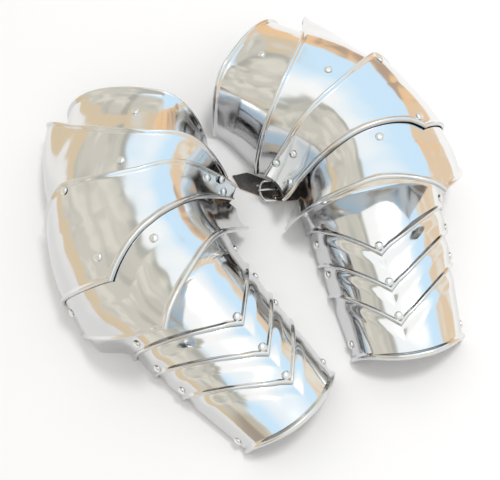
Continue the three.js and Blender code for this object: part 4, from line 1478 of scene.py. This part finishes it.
@dataclass(frozen=True)
class PolishedSteel(Finish):
    """Steel polished by hand: hairlines, smears, a faint unevenness from hammering, and painted
    shade in the crook and on steep sides.
    """

    wave_height: float = 0.0022
    crown: float = 0.09
    stain: float = 0.07
    # Grey of the random stains, also mixed in as painted shade in the crook.
    tarnish_and_shade: Colour = (0.42, 0.42, 0.42)
    # Painted shade: the steel is darkened towards the crook, where the reach from the elbow axis is
    # small.
    crook_shade_reach: tuple = (0.084, 0.058)
    crook_shade_strength: float = 0.12
    # Painted shade: steep sides are darkened towards this grey by the slope of their normal.
    side_shade_colour: Colour = (0.66, 0.66, 0.67)
    side_shade_slope: tuple = (0.68, 0.45)
    side_shade_strength: float = 0.9
    smear: float = 0.05
    hairline: float = 0.03


@dataclass(frozen=True)
class DyedLeather(Finish):
    """Dyed leather with pebbled grain and a bare cut edge."""

    edge_colour: Colour = (0.42, 0.24, 0.11)
    grain_size: float = 900.0
    grain_height: float = 0.25
    grain_depth: float = 0.0004
    wear: float = 2.2
    crease_range: tuple = (0.45, 0.75)
    crease_roughness: float = 0.2


PLATE_STEEL = PolishedSteel("polished_plate", "plate_steel", (0.82, 0.82, 0.81), 0.1, 1.0)
RIVET_STEEL = PolishedSteel(
    "polished_rivet", "rivet_steel", (0.88, 0.88, 0.87), 0.12, 1.0, wave_height=0.0
)
WIRE_STEEL = PolishedSteel(
    "satin_wire", "buckle_steel", (0.72, 0.71, 0.69), 0.22, 1.0, wave_height=0.0, smear=0.1
)
BLACK_LEATHER = DyedLeather("black_leather", "leather", (0.045, 0.04, 0.036), 0.55, 0.0)


class NodeWork:
    """Short ways to add shader nodes."""

    MIX_COLOURS = (6, 7)
    MIX_RESULT = 2

    def __init__(self, tree: bpy.types.NodeTree) -> None:
        """Keep the tree that the nodes go into."""
        self.tree = tree

    def add(self, kind: str, **values: object) -> Node:
        """Add a node and set its properties."""
        node = self.tree.nodes.new(kind)
        for key, value in values.items():
            setattr(node, key, value)
        return node

    def link(self, source: Socket | float | tuple, target: Socket) -> None:
        """Join an output to an input, or set the input's value."""
        if isinstance(source, Socket):
            self.tree.links.new(source, target)
        else:
            target.default_value = source

    def fill(self, node: Node, **values: Socket | float | tuple) -> Node:
        """Join or set a node's inputs by name, with _ for a space."""
        for key, value in values.items():
            self.link(value, node.inputs[key.replace("_", " ")])
        return node

    def math(self, operation: str, *terms: Socket | float) -> Socket:
        """Add a Math node and return its output."""
        node = self.add("ShaderNodeMath", operation=operation)
        for socket, value in zip(node.inputs, terms):
            self.link(value, socket)
        return node.outputs[0]

    def mix(self, share: Socket, first: Socket | Colour, second: Socket | Colour) -> Socket:
        """Add a colour Mix node and return its output."""
        node = self.add("ShaderNodeMix", data_type="RGBA")
        self.link(share, node.inputs["Factor"])
        for place, colour in zip(self.MIX_COLOURS, (first, second)):
            self.link((*colour, 1) if isinstance(colour, tuple) else colour, node.inputs[place])
        return node.outputs[self.MIX_RESULT]

    def noise(self, vector: Socket, kind: Speckle) -> Socket:
        """Add a Noise texture and return its value, before any easing."""
        scale = kind.scale
        if isinstance(scale, tuple):
            stretch = self.fill(self.add("ShaderNodeMapping"), Scale=scale, Vector=vector)
            vector, scale = stretch.outputs["Vector"], 1.0
        node = self.add("ShaderNodeTexNoise")
        self.fill(node, Vector=vector, Scale=scale, Detail=kind.detail, Roughness=kind.roughness)
        return node.outputs["Fac"]

    def speckle(self, vector: Socket, kind: Speckle) -> Socket:
        """Return noise eased over its range."""
        return self.step(self.noise(vector, kind), kind.low, kind.high)

    def step(self, value: Socket, low: float, high: float) -> Socket:
        """Map a value from a range to 0 to 1, eased and clamped."""
        node = self.add("ShaderNodeMapRange", interpolation_type="SMOOTHSTEP")
        self.fill(node, Value=value, From_Min=low, From_Max=high)
        return node.outputs["Result"]

    def between(self, value: Socket, limits: tuple) -> Socket:
        """Return 1 where a value lies between two limits, with soft ends."""
        low, high, soft = limits
        rise = self.step(value, low - soft, low + soft)
        fall = self.step(value, high + soft, high - soft)
        return self.math("MULTIPLY", rise, fall)


class EffectGroup:
    """Builds the node groups that several finishes share."""

    CREASE_SHARE = 0.6

    @staticmethod
    def new(name: str, inputs: dict, outputs: tuple) -> tuple[NodeWork, Node, Node]:
        """Make an empty group with named inputs and outputs.

        Args:
            name: Name of the group.
            inputs: Names and default values of its float inputs, besides the vector.
            outputs: Names of its float outputs.

        Returns:
            The tree's helper, the group's input node and its output node.
        """
        tree = bpy.data.node_groups.new(name, "ShaderNodeTree")
        tree.interface.new_socket("Vector", in_out="INPUT", socket_type="NodeSocketVector")
        for key, value in inputs.items():
            socket = tree.interface.new_socket(key, in_out="INPUT", socket_type="NodeSocketFloat")
            socket.default_value = value
        for key in outputs:
            tree.interface.new_socket(key, in_out="OUTPUT", socket_type="NodeSocketFloat")
        work = NodeWork(tree)
        return work, work.add("NodeGroupInput"), work.add("NodeGroupOutput")

    @staticmethod
    def hand_polish() -> bpy.types.NodeTree:
        """Group: smears and hairlines in the roughness, stains for the colour and a wavy height."""
        work, source, result = EffectGroup.new(
            "hand_polish", {"Base Roughness": 0.08, "Smear": 0.05, "Hairline": 0.03},
            ("Roughness", "Stain", "Height"),
        )
        vector = source.outputs["Vector"]
        rough = source.outputs["Base Roughness"]
        for name, kind in (("Smear", SMEARS), ("Hairline", HAIRLINES)):
            share = work.speckle(vector, kind)
            rough = work.math("MULTIPLY_ADD", share, source.outputs[name], rough)
        stain, wave = work.speckle(vector, STAINS), work.noise(vector, HAMMERING)
        work.fill(result, Roughness=rough, Stain=stain, Height=wave)
        return work.tree

    @staticmethod
    def hide_grain() -> bpy.types.NodeTree:
        """Group: pebbled grain as a height, with creases that vary the roughness."""
        work, source, result = EffectGroup.new(
            "hide_grain", {"Grain Scale": 900.0}, ("Height", "Crease")
        )
        vector = source.outputs["Vector"]
        cells = work.add("ShaderNodeTexVoronoi", feature="SMOOTH_F1")
        work.fill(cells, Vector=vector, Scale=source.outputs["Grain Scale"])
        crease = work.noise(vector, CREASES)
        share = EffectGroup.CREASE_SHARE
        height = work.math("MULTIPLY_ADD", crease, share, cells.outputs["Distance"])
        work.fill(result, Height=height, Crease=crease)
        return work.tree


class FinishSet:
    """Makes each finish's material once."""

    def __init__(self) -> None:
        """Build the shared groups."""
        self.polish = EffectGroup.hand_polish()
        self.grain = EffectGroup.hide_grain()
        self.made: dict[str, bpy.types.Material] = {}

    def material(self, finish: Finish) -> bpy.types.Material:
        """Return the finish's material."""
        if finish.name not in self.made:
            make = self.steel if isinstance(finish, PolishedSteel) else self.leather
            self.made[finish.name] = make(finish)
        return self.made[finish.name]

    @staticmethod
    def start(finish: Finish) -> tuple[bpy.types.Material, NodeWork, Node, Node]:
        """Make a material with its shader's constants and Object coordinates."""
        material = bpy.data.materials.new(finish.name)
        material.use_nodes = True
        work = NodeWork(material.node_tree)
        shader = work.tree.nodes["Principled BSDF"]
        work.fill(shader, Base_Color=(*finish.colour, 1), Roughness=finish.roughness,
                  Metallic=finish.metallic)
        return material, work, shader, work.add("ShaderNodeTexCoord")

    @staticmethod
    def bump(
        work: NodeWork, shader: Node, height: Socket, strength: float = 1.0, distance: float = 1.0
    ) -> None:
        """Add a Bump node in front of the shader's normal."""
        node = work.add("ShaderNodeBump")
        work.fill(node, Strength=strength, Distance=distance, Height=height)
        work.fill(shader, Normal=node.outputs["Normal"])

    def steel(self, finish: PolishedSteel) -> bpy.types.Material:
        """Make polished steel, with random stains and painted shade in the crook and on steep
        sides.
        """
        material, work, shader, place = self.start(finish)
        polish = work.fill(
            work.add("ShaderNodeGroup", node_tree=self.polish), Vector=place.outputs["Object"],
            Base_Roughness=finish.roughness, Smear=finish.smear, Hairline=finish.hairline,
        )
        stain = work.math("MULTIPLY", polish.outputs["Stain"], finish.stain)
        colour = work.mix(stain, finish.colour, finish.tarnish_and_shade)
        if finish.wave_height:
            reach = work.add("ShaderNodeAttribute", attribute_name="reach").outputs["Fac"]
            # Painted shade: darker towards the crook, where the reach from the elbow axis is small.
            inner = work.math("MULTIPLY", work.step(reach, *finish.crook_shade_reach), finish.crook_shade_strength)
            colour = work.mix(inner, colour, finish.tarnish_and_shade)
            # Painted shade: steep sides, found by the Z of the normal, are mixed towards a darker
            # grey.
            slope = work.fill(work.add("ShaderNodeSeparateXYZ"), Vector=place.outputs["Normal"])
            side_shade_mask = work.step(slope.outputs["Z"], *finish.side_shade_slope)
            side_shade_mask = work.math("MULTIPLY", side_shade_mask, finish.side_shade_strength)
            colour = work.mix(side_shade_mask, colour, finish.side_shade_colour)
            crown = work.math("MULTIPLY", reach, finish.crown)
            height = work.math("MULTIPLY_ADD", polish.outputs["Height"], finish.wave_height, crown)
            self.bump(work, shader, height)
        work.fill(shader, Roughness=polish.outputs["Roughness"], Base_Color=colour)
        return material

    def leather(self, finish: DyedLeather) -> bpy.types.Material:
        """Make dyed leather with a bare cut edge."""
        material, work, shader, place = self.start(finish)
        grain = work.fill(work.add("ShaderNodeGroup", node_tree=self.grain),
                          Vector=place.outputs["Object"], Grain_Scale=finish.grain_size)
        edge = work.add("ShaderNodeAttribute", attribute_name="cut_edge")
        worn = tuple(finish.wear * c for c in finish.colour)
        crease = work.step(grain.outputs["Crease"], *finish.crease_range)
        dyed = work.mix(crease, finish.colour, worn)
        colour = work.mix(edge.outputs["Fac"], dyed, finish.edge_colour)
        rough = work.math("MULTIPLY_ADD", crease, finish.crease_roughness, finish.roughness)
        work.fill(shader, Base_Color=colour, Roughness=rough)
        height = grain.outputs["Height"]
        self.bump(work, shader, height, finish.grain_height, finish.grain_depth)
        return material


@dataclass
class Studio:
    """Floor, surroundings, lamp and camera; lengths in metres, the elevation in degrees.

    The surroundings are patches of colour on a dome, each within limits. Two limits are the start
    and the end of a soft change, and three are a low end, a high end and their softness. Azimuths
    are in radians from +X; the others are parts of the dome's radius.
    """

    elevation: float = 65.3
    distance: float = 0.741
    sensor: float = 36.0
    picture_width: float = 500.0
    focal_pixels: float = 741.0
    clip_start: float = 0.01
    target: Array = field(default_factory=lambda: np.array([*PAIR_MIDDLE, 0.0]) * -MM)
    world_light: float = 0.8
    world_seen: float = 0.2
    floor_colour: Colour = (0.955, 0.95, 0.94)
    floor_roughness: float = 0.9
    floor_specular: float = 0.1
    floor_size: float = 6.0
    dome_radius: float = 0.72
    dome_foot: float = -0.02
    dome_grid: tuple = (40, 96)
    wall_white: Colour = (1.12, 1.13, 1.13)
    sky_blue: Colour = (0.73, 0.97, 1.17)
    wall_beige: Colour = (0.72, 0.69, 0.62)
    moss: Colour = (0.36, 0.37, 0.33)
    brick: Colour = (1.0, 0.68, 0.40)
    timber: Colour = (0.80, 0.66, 0.47)
    earth: Colour = (0.56, 0.42, 0.32)
    bark: Colour = (0.42, 0.36, 0.30)
    cream: Colour = (0.94, 0.90, 0.80)
    plaster: Colour = (0.80, 0.77, 0.72)
    sand: Colour = (0.90, 0.70, 0.50)
    ragged_depth: float = 0.24
    ragged_rise: float = 0.3
    white_top: tuple = (0.76, 0.98)
    warm_top: tuple = (0.43, 0.38)
    near_azimuth: tuple = (0.85, 0.65)
    near_drop: float = -0.2
    wall_edge: tuple = (-0.23, -0.29)
    wall_foot: tuple = (0.24, 0.2)
    moss_reach: tuple = (-0.36, -0.24, 0.03)
    moss_share: float = 0.6
    patch_share: float = 0.4
    glint_share: float = 0.6
    back_azimuth: tuple = (1.42, 2.6, 0.08)
    back_top: tuple = (0.79, 0.71)
    back_foot: tuple = (0.4, 0.32)
    brick_azimuth: tuple = (1.3, 1.6, 0.03)
    pillar_azimuth: tuple = (1.88, 1.96, 0.02)
    front_azimuth: tuple = (-2.1, -1.5, 0.12)
    front_top: tuple = (0.52, 0.44)
    front_foot: tuple = (0.5, 0.36)
    lamp_size: float = 0.35
    lamp_energy: float = 9.0
    lamp_spot: tuple = (0.35, 0.15, 1.6)

    def camera(self) -> None:
        """Set the camera at the picture's angle."""
        data = bpy.data.cameras.new("camera")
        data.sensor_width = self.sensor
        data.sensor_fit = "HORIZONTAL"
        data.lens = self.focal_pixels / self.picture_width * self.sensor
        data.clip_start = self.clip_start
        view = put("camera", data)
        rise = np.radians(self.elevation)
        view.location = self.target + self.distance * np.array([0, -np.cos(rise), np.sin(rise)])
        view.rotation_euler = (RIGHT_ANGLE - rise, 0, 0)
        bpy.context.scene.camera = view

    def world(self) -> None:
        """Set a plain white world, a little brighter where it is seen than where it lights."""
        world = bpy.data.worlds.new("white_world")
        world.use_nodes = True
        bpy.context.scene.world = world
        work = NodeWork(world.node_tree)
        rays = work.add("ShaderNodeLightPath").outputs
        seen = work.math("MAXIMUM", rays["Is Camera Ray"], rays["Is Glossy Ray"])
        seen = work.math("MAXIMUM", seen, rays["Is Transmission Ray"])
        strength = work.math("MULTIPLY_ADD", seen, self.world_seen, self.world_light)
        work.fill(work.tree.nodes["Background"], Color=(1, 1, 1, 1), Strength=strength)

    @staticmethod
    def stand(
        name: str, spots: list, faces: list, material: bpy.types.Material
    ) -> bpy.types.Object:
        """Set a mesh of the studio, which is no piece of the part."""
        mesh = bpy.data.meshes.new(name)
        mesh.from_pydata(spots, [], faces)
        mesh.materials.append(material)
        piece = put(name, mesh)
        return piece

    def floor(self) -> None:
        """Lay the pale floor."""
        half = self.floor_size / 2
        corners = [(-half, -half, 0), (half, -half, 0), (half, half, 0), (-half, half, 0)]
        material = bpy.data.materials.new("pale_floor")
        material.use_nodes = True
        work = NodeWork(material.node_tree)
        work.fill(work.tree.nodes["Principled BSDF"], Base_Color=(*self.floor_colour, 1),
                  Roughness=self.floor_roughness, Specular_IOR_Level=self.floor_specular)
        self.stand("floor", corners, [(0, 1, 2, 3)], material)

    def dome(self) -> None:
        """Stand a painted dome round the table, for the steel to reflect."""
        rows, columns = self.dome_grid
        rise = np.linspace(self.dome_foot, RIGHT_ANGLE, rows)[:, None]
        around = np.linspace(0, 2 * np.pi, columns, endpoint=False)
        flat = np.cos(rise)
        spots = [flat * np.cos(around), flat * np.sin(around), np.sin(rise) + 0 * around]
        spots = self.dome_radius * np.stack(spots, axis=-1).reshape(-1, 3)
        faces = MeshWork.quads(rows, columns, close=True)[:, ::-1]
        piece = self.stand("surroundings", spots.tolist(), faces.tolist(), self.surroundings())
        piece.visible_camera = False
        piece.visible_shadow = False
        piece.visible_diffuse = False

    def surroundings(self) -> bpy.types.Material:
        """Paint the dome by direction.

        Returns:
            A glowing material: sky over a warm band to the right, a wall to the left, stripes
            behind the table and wood in front of it.
        """
        material = bpy.data.materials.new("surroundings")
        material.use_nodes = True
        work = NodeWork(material.node_tree)
        work.tree.nodes.clear()
        place = work.add("ShaderNodeTexCoord")
        length_one = work.add("ShaderNodeVectorMath", operation="NORMALIZE")
        direction = work.fill(length_one, Vector=place.outputs["Object"]).outputs[0]
        x, y, z = work.fill(work.add("ShaderNodeSeparateXYZ"), Vector=direction).outputs
        ragged = work.noise(direction, RAGGED)
        ragged = work.math("MULTIPLY_ADD", ragged, self.ragged_depth, -self.ragged_depth / 2)
        x_edge = work.math("ADD", x, ragged)
        z_edge = work.math("ADD", z, work.math("MULTIPLY", ragged, self.ragged_rise))
        azimuth = work.math("ARCTAN2", y, x)
        stripes = work.speckle(direction, STRIPES)
        wall = self.wall_side(work, direction, x_edge, work.math("ADD", z, ragged))
        colour = self.open_side(work, azimuth, z, z_edge, stripes)
        back = work.between(azimuth, self.back_azimuth)
        back = work.math("MULTIPLY", back, work.step(z_edge, *self.back_top))
        behind = self.back_side(work, azimuth, stripes)
        behind = work.mix(work.step(z_edge, *self.back_foot), wall, behind)
        colour = work.mix(back, colour, behind)
        colour = work.mix(work.step(x_edge, *self.wall_edge), colour, wall)
        front = work.between(azimuth, self.front_azimuth)
        front = work.math("MULTIPLY", front, work.step(z_edge, *self.front_top))
        wood = work.mix(work.step(z_edge, *self.front_foot), self.timber, self.bark)
        colour = work.mix(front, colour, wood)
        glow = work.fill(work.add("ShaderNodeEmission"), Color=colour, Strength=1.0)
        work.fill(work.add("ShaderNodeOutputMaterial"), Surface=glow.outputs[0])
        return material

    def open_side(
        self, work: NodeWork, azimuth: Socket, z: Socket, z_edge: Socket, stripes: Socket
    ) -> Socket:
        """Return the open side's colour by height: white, then sky, then a warm striped band."""
        colour = work.mix(work.step(z, *self.white_top), self.sky_blue, self.wall_white)
        near = work.step(azimuth, *self.near_azimuth)
        pale = work.mix(stripes, self.sand, self.cream)
        warm = work.mix(near, work.mix(stripes, self.brick, self.earth), pale)
        height = work.math("MULTIPLY_ADD", near, self.near_drop, z_edge)
        return work.mix(work.step(height, *self.warm_top), colour, warm)

    def back_side(self, work: NodeWork, azimuth: Socket, stripes: Socket) -> Socket:
        """Return the colour behind the table: pale and brown stripes, a brick one and a pillar."""
        colour = work.mix(stripes, self.plaster, self.timber)
        colour = work.mix(work.between(azimuth, self.brick_azimuth), colour, self.brick)
        return work.mix(work.between(azimuth, self.pillar_azimuth), colour, self.bark)

    def wall_side(self, work: NodeWork, direction: Socket, x_edge: Socket, z: Socket) -> Socket:
        """Return the wall's colour: green-grey patches, most by its edge, glints, a timber foot."""
        patches = work.math("MULTIPLY", work.speckle(direction, PATCHES), self.patch_share)
        near = work.math("MULTIPLY", work.between(x_edge, self.moss_reach), self.moss_share)
        pale = work.mix(work.math("MAXIMUM", patches, near), self.wall_beige, self.moss)
        glints = work.math("MULTIPLY", work.speckle(direction, GLINTS), self.glint_share)
        pale = work.mix(glints, pale, self.cream)
        return work.mix(work.step(z, *self.wall_foot), pale, self.timber)

    def lamp(self) -> None:
        """Hang one soft lamp up in the sky's side."""
        data = bpy.data.lights.new("sky_lamp", "AREA")
        data.shape = "DISK"
        data.size = self.lamp_size
        data.energy = self.lamp_energy
        lamp = put("sky_lamp", data)
        lamp.location = self.lamp_spot
        toward = -unit(np.array(self.lamp_spot))
        lamp.rotation_euler = (np.arccos(-toward[2]), 0, np.arctan2(toward[0], -toward[1]))

    def build(self) -> None:
        """Build the whole studio."""
        for step in (self.camera, self.world, self.floor, self.dome, self.lamp):
            step()


def main() -> None:
    """Load the frame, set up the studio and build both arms."""
    logging.basicConfig(level=logging.WARNING)
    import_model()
    bpy.context.scene.view_settings.view_transform = "Standard"
    Studio().build()
    finishes = FinishSet()
    for arm in (LEFT_ARM, RIGHT_ARM):
        ArmBuilder(arm, finishes).build()


if __name__ == "__main__":
    main()
